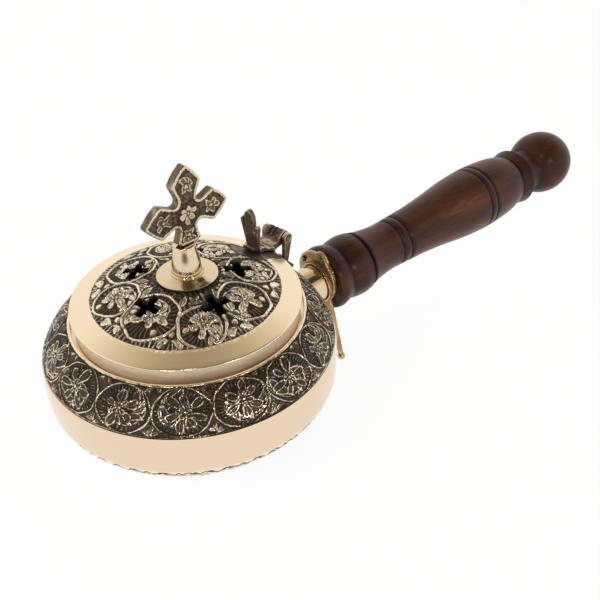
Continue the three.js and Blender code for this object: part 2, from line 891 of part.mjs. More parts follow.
function woodOutline() {
  const valley = frontBeadLength;
  const groove = valley + secondBeadLength;
  const ringOne = groove + taperLength;
  const ringTwo = ringOne + grooveSpacing;
  const crest = ringTwo + gripLength;
  const crestEnd = crest + crestLength;
  const collarStart = crestEnd + fallLength;
  const collarEnd = collarStart + woodCollarLength;
  const neckEnd = collarEnd + neckLength;
  const ballStart = Math.asin((neckRadius + 0.5) / ballRadius);
  const ballCentre = neckEnd + ballRadius * Math.cos(ballStart);
  const between = (a, b, share) => a + (b - a) * share;

  const path = new THREE.Path();
  path.moveTo(0, 0);
  path.lineTo(woodFrontRadius, 0);
  path.splineThru([
    point(frontBeadRadius, valley / 3),
    point(between(frontBeadRadius, valleyRadius, 0.5), valley * 0.75),
    point(valleyRadius, valley),
    point(between(valleyRadius, secondBeadRadius, 0.6), between(valley, groove, 0.25)),
    point(secondBeadRadius, between(valley, groove, 0.6)),
    point(secondBeadRadius - deepGroove / 2, groove - deepGroove),
  ]);
  path.lineTo(taperStartRadius - deepGroove, groove);
  path.lineTo(taperStartRadius, groove + deepGroove);
  path.splineThru([
    point(between(taperStartRadius, waistRadius, 0.55), between(groove, ringOne, 0.3)),
    point(waistRadius, between(groove, ringOne, 0.7)),
    point(waistRadius, ringOne - 2 * fineGroove),
  ]);
  grooveAt(path, waistRadius + fineGroove / 10, ringOne, fineGroove);
  grooveAt(path, gripStartRadius, ringTwo, fineGroove);
  path.splineThru([
    point(between(gripStartRadius, crestRadius, 0.14), between(ringTwo, crest, 0.25)),
    point(between(gripStartRadius, crestRadius, 0.43), between(ringTwo, crest, 0.5)),
    point(between(gripStartRadius, crestRadius, 0.8), between(ringTwo, crest, 0.75)),
    point(crestRadius, crest - 2 * fineGroove),
  ]);
  grooveAt(path, crestRadius, crest, fineGroove);
  grooveAt(path, crestRadius, crestEnd, fineGroove);
  path.splineThru([
    point(between(crestRadius, fallEndRadius, 0.12), between(crestEnd, collarStart, 0.33)),
    point(between(crestRadius, fallEndRadius, 0.42), between(crestEnd, collarStart, 0.66)),
    point(fallEndRadius, collarStart - 2 * fineGroove),
  ]);
  path.lineTo(fallEndRadius - fineGroove, collarStart - fineGroove);
  path.lineTo(woodCollarRadius, collarStart);
  path.lineTo(woodCollarRadius, collarEnd - fineGroove);
  path.lineTo(woodCollarRadius - fineGroove, collarEnd);
  path.splineThru([
    point(between(woodCollarRadius, neckRadius, 0.5), between(collarEnd, neckEnd, 0.2)),
    point(neckRadius, between(collarEnd, neckEnd, 0.7)),
    point(ballRadius * Math.sin(ballStart), neckEnd),
  ]);
  arc(0, ballCentre, ballRadius, ballRadius, ballStart - Math.PI / 2, Math.PI / 2, 10)
    .slice(1, -1)
    .forEach((p) => path.lineTo(p.x, p.y));
  path.lineTo(0, ballCentre + ballRadius);

  const points = path.getPoints(1);
  return points.filter((p, i) => i === 0 || p.distanceTo(points[i - 1]) > 0.01);
}

function buildWood() {
  const body = turned(woodOutline(), handleSegments).translate(0, 0, woodFront);
  const rodBore = bar(rodRadius + seatGap, plateReach, woodFront + rodIntoWood + seatGap);
  return cut(body, rodBore, seenFrom(handleFrame, nailBore, nailFrame));
}

handleFrame.add(piece('wooden_handle', buildWood(), darkWood));

// Inner radius of the bowl at a height
function bowlInsideAt(height) {
  const curve = bowlCurve(-bowlWall, shoulderHigh);
  const next = Math.max(1, curve.findIndex((p) => p.y > height));
  const [a, b] = [curve[next - 1], curve[next]];
  return a.x + ((b.x - a.x) * (height - a.y)) / (b.y - a.y);
}

// Distance along the handle line at which a point beside it meets the inside of the bowl
function reachInside(across, above) {
  let along = bellyRadius;
  for (let i = 0; i < 12; i += 1) {
    const height = handleLevel + along * Math.sin(climb) + above * Math.cos(climb);
    const radius = bowlInsideAt(height) - seatGap;
    along = (Math.sqrt(radius ** 2 - across ** 2) + above * Math.sin(climb)) / Math.cos(climb);
  }
  return along;
}

// Washer and nut draw the rod, and with it wood, plate and tube, against the bowl's wall
const washerRim = arc(0, 0, rodWasherRadius, rodWasherRadius, 0, 2 * Math.PI, smallSegments);
const washerFace = Math.min(...washerRim.map((p) => reachInside(p.x, p.y)));
const rodNutFace = washerFace - rodWasherThickness - seatGap;
const rodNutBack = rodNutFace - rodNutThickness;

handleFrame.add(
  piece('tang_rod', bar(rodRadius, rodNutBack - rodTail, woodFront + rodIntoWood), plainSteel),
  piece(
    'tang_washer',
    ring(rodRadius + seatGap, rodWasherRadius, washerFace - rodWasherThickness, washerFace),
    plainSteel,
  ),
  piece('tang_nut', cut(
    bar(rodNutRadius, rodNutBack, rodNutFace, 6),
    bar(rodRadius + seatGap, rodNutBack - 1, rodNutFace + 1),
  ), plainSteel),
);

export default censer;
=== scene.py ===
"""Hand censer: engraved brass bowl, hinged pierced lid with a standing cross, turned wooden handle.

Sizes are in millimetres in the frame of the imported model: +Z up, the handle along +X.
"""

import logging
import math
from dataclasses import dataclass
from enum import Enum
from functools import cache, reduce
from typing import Callable

import bpy
import numpy as np
from mathutils import Matrix, Vector


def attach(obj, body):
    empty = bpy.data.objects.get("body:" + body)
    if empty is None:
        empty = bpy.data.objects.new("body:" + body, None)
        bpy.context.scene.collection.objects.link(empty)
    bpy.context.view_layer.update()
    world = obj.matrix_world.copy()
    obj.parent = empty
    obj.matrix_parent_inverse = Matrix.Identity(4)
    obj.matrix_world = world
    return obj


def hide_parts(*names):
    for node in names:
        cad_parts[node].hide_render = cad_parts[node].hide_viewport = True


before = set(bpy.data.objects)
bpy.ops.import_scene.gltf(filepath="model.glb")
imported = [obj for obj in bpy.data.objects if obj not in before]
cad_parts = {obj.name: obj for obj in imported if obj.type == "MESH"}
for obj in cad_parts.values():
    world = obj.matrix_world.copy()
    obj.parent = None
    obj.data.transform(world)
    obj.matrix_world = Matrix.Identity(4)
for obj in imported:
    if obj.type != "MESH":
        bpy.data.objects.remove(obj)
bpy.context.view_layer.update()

logging.basicConfig(level=logging.INFO, format="%(message)s")
log = logging.getLogger("censer")

METRES = 0.001
# A distance in millimetres at which no line is drawn
AWAY = 9.0
Colour = tuple[float, float, float]
Points = np.ndarray
Socket = bpy.types.NodeSocket


class Body(Enum):
    """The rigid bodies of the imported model."""

    CENSER = "censer"
    LID = "lid_assembly"


class Slot(Enum):
    """The record's material slots."""

    ENGRAVED = "engraved_brass"
    POLISHED = "polished_brass"
    BRONZE = "aged_bronze"
    CAST = "cast_brass"
    STEEL = "plain_steel"
    WOOD = "dark_wood"


# Finishes


class Desk:
    """Adds nodes to a node tree and joins them."""

    def __init__(self, tree: bpy.types.NodeTree) -> None:
        """Takes a node tree and empties it."""
        self.tree = tree
        tree.nodes.clear()

    def add(self, kind: str, inputs: dict | None = None, **settings: object) -> bpy.types.Node:
        """Adds a node.

        Args:
            kind: Blender's type name of the node.
            inputs: socket name or number to a value or to another node's output.
            settings: the node's own properties.

        Returns:
            The new node.
        """
        node = self.tree.nodes.new(kind)
        for key, value in settings.items():
            setattr(node, key, value)
        for key, value in (inputs or {}).items():
            if isinstance(value, bpy.types.NodeSocket):
                self.tree.links.new(value, node.inputs[key])
            else:
                node.inputs[key].default_value = value
        return node

    def out(self, kind: str, inputs: dict | None = None, **settings: object) -> Socket:
        """Adds a node and gives its first output."""
        return self.add(kind, inputs, **settings).outputs[0]

    def math(self, operation: str, *numbers: object) -> Socket:
        """Adds a math node on numbers or sockets and gives its output."""
        return self.out("ShaderNodeMath", dict(enumerate(numbers)), operation=operation)

    def spread(self, *numbers: object) -> Socket:
        """Maps a value from a low and high end to a first and last one, given in this order."""
        return self.out("ShaderNodeMapRange", dict(enumerate(numbers)))

    def ramp(self, value: Socket, stops: list[tuple[float, Colour]]) -> Socket:
        """Adds a colour ramp.

        Args:
            value: what drives it.
            stops: positions with their colours, from low to high.

        Returns:
            The colour output.
        """
        node = self.add("ShaderNodeValToRGB", {0: value})
        elements = node.color_ramp.elements
        while len(elements) < len(stops):
            elements.new(0.5)
        for element, (position, colour) in zip(elements, stops):
            element.position = position
            element.color = (*colour, 1.0)
        return node.outputs["Color"]

    def blend(self, share: Socket, first: object, second: object) -> Socket:
        """Mixes two colours, from the first at share 0 to the second at share 1."""
        return self.add("ShaderNodeMix", {0: share, 6: first, 7: second}, data_type="RGBA").outputs[2]

    def noise(self, scale: float, detail: float = 3.0, stretch: Colour = (1.0, 1.0, 1.0)) -> Socket:
        """Adds a noise in the object's coordinates.

        Args:
            scale: how many spots there are in a metre.
            detail: how many finer layers it has.
            stretch: factors on the three coordinates.

        Returns:
            The noise value's socket.
        """
        spot = self.add("ShaderNodeTexCoord").outputs["Object"]
        spot = self.out("ShaderNodeMapping", {"Vector": spot, "Scale": stretch})
        return self.out("ShaderNodeTexNoise", {"Vector": spot, "Scale": scale, "Detail": detail})

    def attribute(self, name: str) -> Socket:
        """Reads one of the mesh's own values as a number."""
        return self.add("ShaderNodeAttribute", attribute_name=name).outputs["Fac"]

    def dot(self, way: Socket, other: Colour) -> Socket:
        """The dot product of a direction and a fixed one."""
        return self.add("ShaderNodeVectorMath", {0: way, 1: other}, operation="DOT_PRODUCT").outputs["Value"]

    def seen_by(self, *rays: str) -> Socket:
        """1 for rays of the named kinds and 0 for others."""
        path = self.add("ShaderNodeLightPath").outputs
        total = reduce(lambda a, b: self.math("ADD", a, b), [path[f"Is {ray} Ray"] for ray in rays])
        return self.math("MINIMUM", total, 1.0)

    def bump(self, height: Socket, strength: float) -> Socket:
        """Adds a bump and gives its normal."""
        return self.out("ShaderNodeBump", {"Strength": strength, "Distance": METRES, "Height": height})

    def principled(self, inputs: dict) -> None:
        """Ends a material's tree with a principled shader that has these inputs."""
        self.add("ShaderNodeOutputMaterial", {0: self.out("ShaderNodeBsdfPrincipled", inputs)})


def new_material(name: str) -> tuple[bpy.types.Material, Desk]:
    """Makes a material with an empty tree, and a desk on that tree."""
    material = bpy.data.materials.new(name)
    material.use_nodes = True
    return material, Desk(material.node_tree)


@dataclass(frozen=True)
class MetalFinish:
    """A metal that is bright where it stands out and dark where dirt and patina stay.

    Its mesh may carry the value "relief": 1 on the top of the work, 0 at the bottom of a cut; on some pieces it also
    holds painted light and shade.
    """

    name: str
    slot: Slot
    bright: Colour
    middle: Colour
    deep: Colour
    polish: float = 0.2
    dullness: float = 0.5
    deep_metal: float = 0.6
    spots: float = 0.12
    spot_scale: float = 160.0
    grain: float = 0.02
    grain_scale: float = 900.0
    smear: float = 0.08
    has_relief: bool = True
    metal: float = 1.0
    deep_until: float = 0.12
    bright_from: float = 0.88
    low_share: float = 0.38
    middle_share: float = 0.68
    low_tone: float = 0.4

    def stops(self) -> list[tuple[float, Colour]]:
        """Heights with their colours, from the deepest to the brightest."""
        low = tuple((1 - self.low_tone) * d + self.low_tone * m for d, m in zip(self.deep, self.middle))
        top = self.bright_from
        return [
            (self.deep_until, self.deep), (self.low_share * top, low), (self.middle_share * top, self.middle),
            (top, self.bright),
        ]

    def build(self) -> bpy.types.Material:
        """Makes the material."""
        material, desk = new_material(self.name)
        cloud = desk.noise(self.spot_scale, 4.0)
        fine = desk.noise(self.grain_scale)
        tarnish = desk.math("MULTIPLY", desk.math("SUBTRACT", cloud, 0.5), self.spots * 2)
        height = desk.math("ADD", desk.attribute("relief") if self.has_relief else 1.0, tarnish)
        rough = desk.spread(height, 0.1, 0.95, self.dullness, self.polish)
        inputs = {
            "Base Color": desk.ramp(height, self.stops()),
            "Metallic": desk.spread(height, 0.1, 0.7, self.deep_metal, self.metal),
            "Roughness": desk.math("MULTIPLY_ADD", fine, self.smear, rough),
        }
        if self.grain > 0:
            inputs["Normal"] = desk.bump(fine, self.grain)
        desk.principled(inputs)
        return material


@dataclass(frozen=True)
class WoodFinish:
    """Turned hardwood with a dark red brown stain and a satin lacquer."""

    name: str
    slot: Slot
    dark: Colour
    red: Colour
    light: Colour
    gloss: float = 0.25
    gloss_change: float = 0.16
    sheen: float = 0.12
    sheen_roughness: float = 0.22
    pore_depth: float = 0.08
    pore_strength: float = 0.22
    streak_share: float = 0.6
    groove_tone: float = 0.25
    streak_stretch: Colour = (0.16, 1.0, 1.0)
    pore_stretch: Colour = (0.07, 1.0, 1.0)
    patch_stretch: Colour = (0.5, 1.0, 1.0)

    def build(self) -> bpy.types.Material:
        """Makes the material: long streaks, pores and patches, darker where "relief" is low, which holds painted
        shade in the grooves and towards the ends.
        """
        material, desk = new_material(self.name)
        streaks = desk.noise(90.0, 6.0, self.streak_stretch)
        pores = desk.noise(900.0, 2.0, self.pore_stretch)
        patches = desk.noise(28.0, 2.0, self.patch_stretch)
        patchy = desk.math("MULTIPLY", patches, 1 - self.streak_share)
        mixed = desk.math("MULTIPLY_ADD", streaks, self.streak_share, patchy)
        mixed = desk.math("MULTIPLY_ADD", desk.math("SUBTRACT", pores, 0.5), self.pore_strength, mixed)
        colour = desk.ramp(mixed, [(0.3, self.dark), (0.52, self.red), (0.72, self.light)])
        # Painted shade: the dark tone that the wood takes where "relief" is low, in its grooves and towards its ends
        shaded = (*[c * self.groove_tone for c in self.dark], 1.0)
        desk.principled({
            "Base Color": desk.blend(desk.attribute("relief"), shaded, colour),
            "Roughness": desk.math("MULTIPLY_ADD", streaks, self.gloss_change, self.gloss),
            "Specular IOR Level": self.sheen,
            "Coat Weight": self.sheen,
            "Coat Roughness": self.sheen_roughness,
            "Normal": desk.bump(pores, self.pore_depth),
        })
        return material


Finish = MetalFinish | WoodFinish

ENGRAVED = MetalFinish(
    "Engraved brass", Slot.ENGRAVED, (0.91, 0.80, 0.62), (0.20, 0.148, 0.10), (0.020, 0.0135, 0.0095),
    polish=0.12, dullness=0.5, spots=0.18, grain=0.14, grain_scale=1300.0, bright_from=0.77,
)
SHOULDER = MetalFinish(
    "Engraved shoulder", Slot.ENGRAVED, (0.94, 0.80, 0.61), (0.095, 0.068, 0.045), (0.019, 0.013, 0.009),
    polish=0.05, dullness=0.36, spots=0.2, grain=0.12, grain_scale=1300.0, bright_from=0.92,
)
SOOT = MetalFinish(
    "Sooty inside", Slot.ENGRAVED, (0.012, 0.008, 0.006), (0.012, 0.008, 0.006), (0.006, 0.004, 0.003),
    polish=0.7, dullness=0.8, deep_metal=0.0, metal=0.0, spots=0.3, grain=0.2, has_relief=False,
)
PLAIN = MetalFinish(
    "Plain polished belly", Slot.ENGRAVED, (0.83, 0.66, 0.48), (0.83, 0.66, 0.48), (0.77, 0.60, 0.42),
    polish=0.13, dullness=0.2, deep_metal=1.0, spots=0.05, grain=0.004, has_relief=False,
)
FLANGE = MetalFinish(
    "Plain lid flange", Slot.ENGRAVED, (0.92, 0.75, 0.53), (0.92, 0.75, 0.53), (0.84, 0.66, 0.43),
    polish=0.16, dullness=0.24, deep_metal=1.0, spots=0.05, grain=0.006, has_relief=False,
)
SATIN = MetalFinish(
    "Satin skirt", Slot.ENGRAVED, (0.87, 0.73, 0.55), (0.87, 0.73, 0.55), (0.78, 0.64, 0.45),
    polish=0.32, dullness=0.42, deep_metal=0.75, metal=0.75, spots=0.08, grain=0.01, has_relief=False,
)
POLISHED = MetalFinish(
    "Polished brass", Slot.POLISHED, (0.74, 0.60, 0.40), (0.72, 0.58, 0.38), (0.64, 0.5, 0.32),
    polish=0.07, dullness=0.12, deep_metal=1.0, spots=0.05, grain=0.0, has_relief=False,
)
BRONZE = MetalFinish(
    "Aged bronze", Slot.BRONZE, (0.74, 0.61, 0.43), (0.19, 0.138, 0.092), (0.026, 0.018, 0.012),
    polish=0.24, dullness=0.55, spots=0.3, grain=0.2, grain_scale=700.0,
)
EARS = MetalFinish(
    "Worn cast brass", Slot.CAST, (0.60, 0.50, 0.33), (0.30, 0.235, 0.14), (0.04, 0.028, 0.017),
    polish=0.26, dullness=0.5, spots=0.3, grain=0.16, grain_scale=600.0,
)
CAST = MetalFinish(
    "Cast brass", Slot.CAST, (0.72, 0.52, 0.28), (0.42, 0.27, 0.125), (0.06, 0.038, 0.018),
    polish=0.2, dullness=0.5, spots=0.25, grain=0.16, grain_scale=600.0,
)
STEEL = MetalFinish(
    "Plain steel", Slot.STEEL, (0.30, 0.28, 0.26), (0.22, 0.2, 0.18), (0.06, 0.05, 0.04),
    polish=0.34, dullness=0.5, deep_metal=0.9, spots=0.3, grain=0.05, has_relief=False,
)
WOOD = WoodFinish(
    "Dark red brown wood", Slot.WOOD, (0.019, 0.0070, 0.0045), (0.071, 0.0235, 0.0118), (0.180, 0.069, 0.034),
)


@cache
def material_of(finish: Finish) -> bpy.types.Material:
    """The material of a finish, built once."""
    return finish.build()


# Plane curves


def arc(x: float, y: float, radius: float, start: float, end: float, steps: int) -> Points:
    """Points on a circle about (x, y), from one angle in radians to another."""
    angles = np.linspace(start, end, steps + 1)
    return np.column_stack([x + radius * np.cos(angles), y + radius * np.sin(angles)])


def bezier(a: Points, b: Points, c: Points, d: Points, steps: int) -> Points:
    """Points on a cubic curve.

    Args:
        a: the start.
        b: the handle of the start.
        c: the handle of the end.
        d: the end.
        steps: number of steps.

    Returns:
        An array of steps + 1 points.
    """
    t = np.linspace(0, 1, steps + 1)[:, None]
    a, b, c, d = (np.asarray(p, float) for p in (a, b, c, d))
    return (1 - t) ** 3 * a + 3 * (1 - t) ** 2 * t * b + 3 * (1 - t) * t * t * c + t ** 3 * d


def smooth_line(knots: list[tuple[float, float]], steps: int) -> Points:
    """A smooth line through knots, given as (radius, along) pairs.

    Args:
        knots: the points that it passes.
        steps: steps in each span.

    Returns:
        The points of the line.
    """
    p = np.asarray(knots, float)
    padded = np.vstack([2 * p[0] - p[1], p, 2 * p[-1] - p[-2]])
    pieces = []
    for i in range(len(p) - 1):
        before, a, b, after = padded[i:i + 4]
        pieces.append(bezier(a, a + (b - before) / 6, b - (after - a) / 6, b, steps)[:-1])
    return np.vstack([*pieces, p[-1:]])


def run_lengths(points: Points) -> Points:
    """Distance of each point along its line."""
    return np.concatenate([[0], np.cumsum(np.linalg.norm(np.diff(points, axis=0), axis=1))])


def evenly(points: Points, step: float) -> Points:
    """The same line with points at an even spacing.

    Args:
        points: the line.
        step: the spacing wanted.

    Returns:
        The new points, with both ends kept.
    """
    lengths = run_lengths(points)
    places = np.linspace(0, lengths[-1], max(1, round(lengths[-1] / step)) + 1)
    return np.column_stack([np.interp(places, lengths, points[:, k]) for k in range(2)])


def softened(points: Points, cuts: list[float], steps: int = 6) -> Points:
    """A closed outline with its corners rounded.

    Args:
        points: the corners.
        cuts: how far the rounding of each corner reaches along its sides.
        steps: steps in each rounding.

    Returns:
        The points of the rounded outline.
    """
    made = []
    t = np.linspace(0, 1, steps + 1)[:, None]
    for before, here, after, cut in zip(np.roll(points, 1, axis=0), points, np.roll(points, -1, axis=0), cuts):
        sides = [(end - here, float(np.linalg.norm(end - here))) for end in (before, after)]
        a, b = (here + side * (min(cut, 0.48 * long) / long) for side, long in sides)
        made.append((1 - t) ** 2 * a + 2 * (1 - t) * t * here + t ** 2 * b)
    return np.vstack(made)


def moved(points: Points, offset: float) -> Points:
    """The line moved sideways, outwards by a positive offset."""
    along = np.gradient(points, axis=0)
    along /= np.linalg.norm(along, axis=1)[:, None]
    return points + offset * np.column_stack([along[:, 1], -along[:, 0]])


# Meshes and node trees


def new_object(name: str, data: bpy.types.ID) -> bpy.types.Object:
    """Puts a mesh, a lamp or a camera in the scene as an object at the origin."""
    made = bpy.data.objects.new(name, data)
    bpy.context.scene.collection.objects.link(made)
    return made


def new_mesh(name: str, points: Points, faces: list | Points, edges: list | Points = ()) -> bpy.types.Mesh:
    """Makes a mesh from arrays.

    Args:
        name: the mesh's name.
        points: corners, in any unit.
        faces: corner numbers of each face.
        edges: corner numbers of each loose edge.

    Returns:
        The mesh.
    """
    mesh = bpy.data.meshes.new(name)
    mesh.from_pydata([tuple(p) for p in np.asarray(points, float)], [tuple(e) for e in edges],
                     [tuple(int(i) for i in f) for f in faces])
    return mesh


def vectors(items: bpy.types.bpy_prop_collection, name: str, kind: type = float) -> Points:
    """Three numbers of each item of a mesh, as the rows of an array.

    Args:
        items: the mesh's corners, faces or triangles.
        name: the value's name.
        kind: the kind of its numbers.

    Returns:
        The array.
    """
    flat = np.empty(len(items) * 3, kind)
    items.foreach_get(name, flat)
    return flat.reshape(-1, 3)


def corners(mesh: bpy.types.Mesh) -> Points:
    """The mesh's corner positions."""
    return vectors(mesh.vertices, "co")


def corner_normals(mesh: bpy.types.Mesh) -> Points:
    """The mesh's corner normals."""
    return vectors(mesh.vertices, "normal")


def place(mesh: bpy.types.Mesh, points: Points) -> None:
    """Writes corner positions to a mesh."""
    mesh.vertices.foreach_set("co", np.ascontiguousarray(points, float).ravel())
    mesh.update()


def store(mesh: bpy.types.Mesh, name: str, values: Points) -> None:
    """Keeps one number for each corner of a mesh under a name."""
    kept = mesh.attributes.get(name) or mesh.attributes.new(name, "FLOAT", "POINT")
    kept.data.foreach_set("value", np.asarray(values, np.float32))


def face_outwards(mesh: bpy.types.Mesh) -> None:
    """Turns the faces of a closed mesh outwards, by the sign of its volume."""
    mesh.calc_loop_triangles()
    a, b, c = corners(mesh)[vectors(mesh.loop_triangles, "vertices", int)].transpose(1, 0, 2)
    if np.einsum("ij,ij->i", a, np.cross(b, c)).sum() < 0:
        mesh.flip_normals()


def mark_edges(mesh: bpy.types.Mesh, degrees: float = 50.0) -> None:
    """Shades a mesh smooth, except at edges sharper than an angle in degrees."""
    mesh.polygons.foreach_set("use_smooth", np.ones(len(mesh.polygons), bool))
    mesh.set_sharp_from_angle(angle=math.radians(degrees))
    mesh.update()


def grid_faces(rows: int, columns: int) -> Points:
    """Faces of a grid of points that are stored row after row.

    Args:
        rows: number of rows.
        columns: number of points in a row.

    Returns:
        Four corner numbers for each face.
    """
    r, c = np.meshgrid(np.arange(rows - 1), np.arange(columns - 1), indexing="ij")
    first = (r * columns + c).ravel()
    return np.column_stack([first, first + 1, first + columns + 1, first + columns])


def ring_faces(rings: int, count: int) -> Points:
    """Faces between rings of points that close on themselves, the last ring joined to the first.

    Args:
        rings: number of rings.
        count: number of points in each.

    Returns:
        Four corner numbers for each face.
    """
    r, c = (grid.ravel() for grid in np.meshgrid(np.arange(rings), np.arange(count), indexing="ij"))
    r2, c2 = (r + 1) % rings, (c + 1) % count
    return np.column_stack([r * count + c, r * count + c2, r2 * count + c2, r2 * count + c])


def prism(name: str, first: Points, second: Points) -> bpy.types.Mesh:
    """The solid between two equal flat outlines.

    Args:
        name: the mesh's name.
        first: the corners of one end.
        second: the corners of the other end.

    Returns:
        The mesh, with its faces outwards.
    """
    count = len(first)
    faces = [tuple(range(count))[::-1], tuple(range(count, 2 * count))]
    faces += [(i, (i + 1) % count, (i + 1) % count + count, i + count) for i in range(count)]
    mesh = new_mesh(name, np.vstack([first, second]), faces)
    face_outwards(mesh)
    return mesh


def dress(mesh: bpy.types.Mesh, finishes: tuple, choice: Points) -> None:
    """Gives a mesh several finishes.

    Args:
        mesh: the mesh.
        finishes: the finishes.
        choice: the number of its finish for each face.
    """
    mesh.materials.clear()
    for finish in finishes:
        mesh.materials.append(material_of(finish))
    mesh.polygons.foreach_set("material_index", np.asarray(choice, np.int32))


def uneven(x: Points, y: Points, size: float, seed: int, period: float = 400.0) -> Points:
    """An uneven value of about -1 to 1 on a plane, which repeats after a period along x.

    Args:
        x: first coordinates.
        y: second coordinates.
        size: the distance between lumps, in the same unit.
        seed: picks the pattern.
        period: the distance after which it repeats.

    Returns:
        One number for each place.
    """
    draw = np.random.default_rng(seed)
    total = np.zeros(np.shape(x))
    most = max(1, round(1.3 * period / size))
    for _ in range(12):
        around = draw.integers(-most, most + 1) * 2 * math.pi / period
        total += np.sin(around * x + 2 * math.pi / size * draw.uniform(-1.3, 1.3) * y + draw.uniform(0, 2 * math.pi))
    return total / 4


def lumpiness(points: Points, size: float, seed: int) -> Points:
    """An uneven value between 0 and 1 that changes over a distance.

    Args:
        points: where it is wanted.
        size: the distance between lumps in millimetres.
        seed: picks the pattern.

    Returns:
        One number for each point.
    """
    draw = np.random.default_rng(seed)
    total = np.zeros(len(points))
    for _ in range(14):
        way = draw.normal(size=3)
        way *= 2 * math.pi / size * draw.uniform(0.6, 1.3) / np.linalg.norm(way)
        total += np.sin(points @ way + draw.uniform(0, 2 * math.pi))
    return np.clip(0.5 + total / 10, 0, 1)


class Tree:
    """A Geometry Nodes tree that is built here and run on meshes."""

    def __init__(self, name: str, inputs: dict[str, str]) -> None:
        """Makes the tree with a geometry, some named inputs and a material going in.

        Args:
            name: the tree's name.
            inputs: input name to the kind of its socket.
        """
        self.tree = bpy.data.node_groups.new(name, "GeometryNodeTree")
        self.desk = Desk(self.tree)
        self.names: dict[str, str] = {}
        face = self.tree.interface
        for label, kind in {"Geometry": "Geometry", **inputs, "Material": "Material"}.items():
            made = face.new_socket(name=label, in_out="INPUT", socket_type=f"NodeSocket{kind}")
            self.names[label] = made.identifier
        face.new_socket(name="Geometry", in_out="OUTPUT", socket_type="NodeSocketGeometry")
        self.given = self.desk.add("NodeGroupInput").outputs

    def end(self, geometry: Socket) -> "Tree":
        """Closes the tree: instances become real, the material is set, and the result leaves."""
        parts = {"Geometry": self.real(geometry), "Material": self.given["Material"]}
        self.desk.add("NodeGroupOutput", {0: self.desk.out("GeometryNodeSetMaterial", parts)})
        return self

    def real(self, geometry: Socket) -> Socket:
        """Makes instances real."""
        return self.desk.out("GeometryNodeRealizeInstances", {0: geometry})

    def copies(self, spots: Socket, solid: Socket, turn: Socket) -> Socket:
        """Sets a turned copy of a solid on each spot."""
        return self.desk.out("GeometryNodeInstanceOnPoints", {"Points": spots, "Instance": solid, "Rotation": turn})

    def solid_of(self, label: str) -> Socket:
        """The geometry of the object that goes in under a name."""
        return self.desk.add("GeometryNodeObjectInfo", {"Object": self.given[label]}).outputs["Geometry"]

    def around(self, first: object) -> tuple[Socket, Socket, Socket]:
        """Spots for the "Count" copies of something round the Z axis.

        Args:
            first: direction of the first one in radians.

        Returns:
            The spots, all at the origin, each one's direction, and the same as a rotation.
        """
        step = self.desk.math("DIVIDE", 2 * math.pi, self.given["Count"])
        angle = self.desk.math("MULTIPLY_ADD", self.desk.out("GeometryNodeInputIndex"), step, first)
        spots = self.desk.out("GeometryNodePoints", {"Count": self.given["Count"]})
        return spots, angle, self.desk.out("ShaderNodeCombineXYZ", {"Z": angle})

    def run(self, name: str, mesh: bpy.types.Mesh, values: dict[str, object]) -> bpy.types.Mesh:
        """Runs the tree on a mesh.

        Args:
            name: the result's name.
            mesh: what goes in.
            values: input name to value.

        Returns:
            The result as a plain mesh.
        """
        carrier = new_object(name, mesh)
        modifier = carrier.modifiers.new("Shape", "NODES")
        modifier.node_group = self.tree
        for label, value in values.items():
            modifier[self.names[label]] = value
        return evaluated(carrier, name)


def evaluated(carrier: bpy.types.Object, name: str) -> bpy.types.Mesh:
    """Turns an object with modifiers into a plain mesh and removes the object.

    Args:
        carrier: the object.
        name: the new mesh's name.

    Returns:
        The plain mesh.
    """
    graph = bpy.context.evaluated_depsgraph_get()
    shaped = carrier.evaluated_get(graph)
    mesh = bpy.data.meshes.new_from_object(shaped, preserve_all_data_layers=True, depsgraph=graph)
    mesh.name = name
    bpy.data.objects.remove(carrier)
    return mesh


def turning_tree() -> Tree:
    """A tree that turns an outline of (radius, height) points about the Z axis."""
    tree = Tree("Turned piece", {"Segments": "Int", "Sharp angle": "Float"})
    desk, given = tree.desk, tree.given
    path = 10.0
    outline = desk.out("GeometryNodeMeshToCurve", {"Mesh": given["Geometry"]})
    shifted = desk.out("GeometryNodeTransform", {"Geometry": outline, "Translation": (-path, 0, 0)})
    circle = desk.out("GeometryNodeCurvePrimitiveCircle", {"Resolution": given["Segments"], "Radius": path})
    level = desk.out("GeometryNodeSetCurveNormal", {"Curve": circle}, mode="Z_UP")
    swept = desk.out("GeometryNodeCurveToMesh", {"Curve": level, "Profile Curve": shifted})
    merged = desk.out("GeometryNodeMergeByDistance", {"Geometry": swept, "Distance": 0.001})
    soft = desk.out("GeometryNodeSetShadeSmooth", {"Geometry": merged, "Shade Smooth": True})
    angle = desk.out("GeometryNodeInputMeshEdgeAngle")
    sharp = desk.out("FunctionNodeCompare", {0: angle, 1: given["Sharp angle"]}, operation="GREATER_THAN")
    chosen = {"Geometry": soft, "Selection": sharp, "Shade Smooth": False}
    return tree.end(desk.out("GeometryNodeSetShadeSmooth", chosen, domain="EDGE"))


def ring_tree() -> Tree:
    """A tree that repeats a sector round the Z axis and closes the seams."""
    tree = Tree("Sectors round the axis", {"Count": "Int", "Seam": "Float"})
    spots, _, turn = tree.around(0.0)
    real = tree.real(tree.copies(spots, tree.given["Geometry"], turn))
    closed = {"Geometry": real, "Distance": tree.given["Seam"]}
    return tree.end(tree.desk.out("GeometryNodeMergeByDistance", closed))


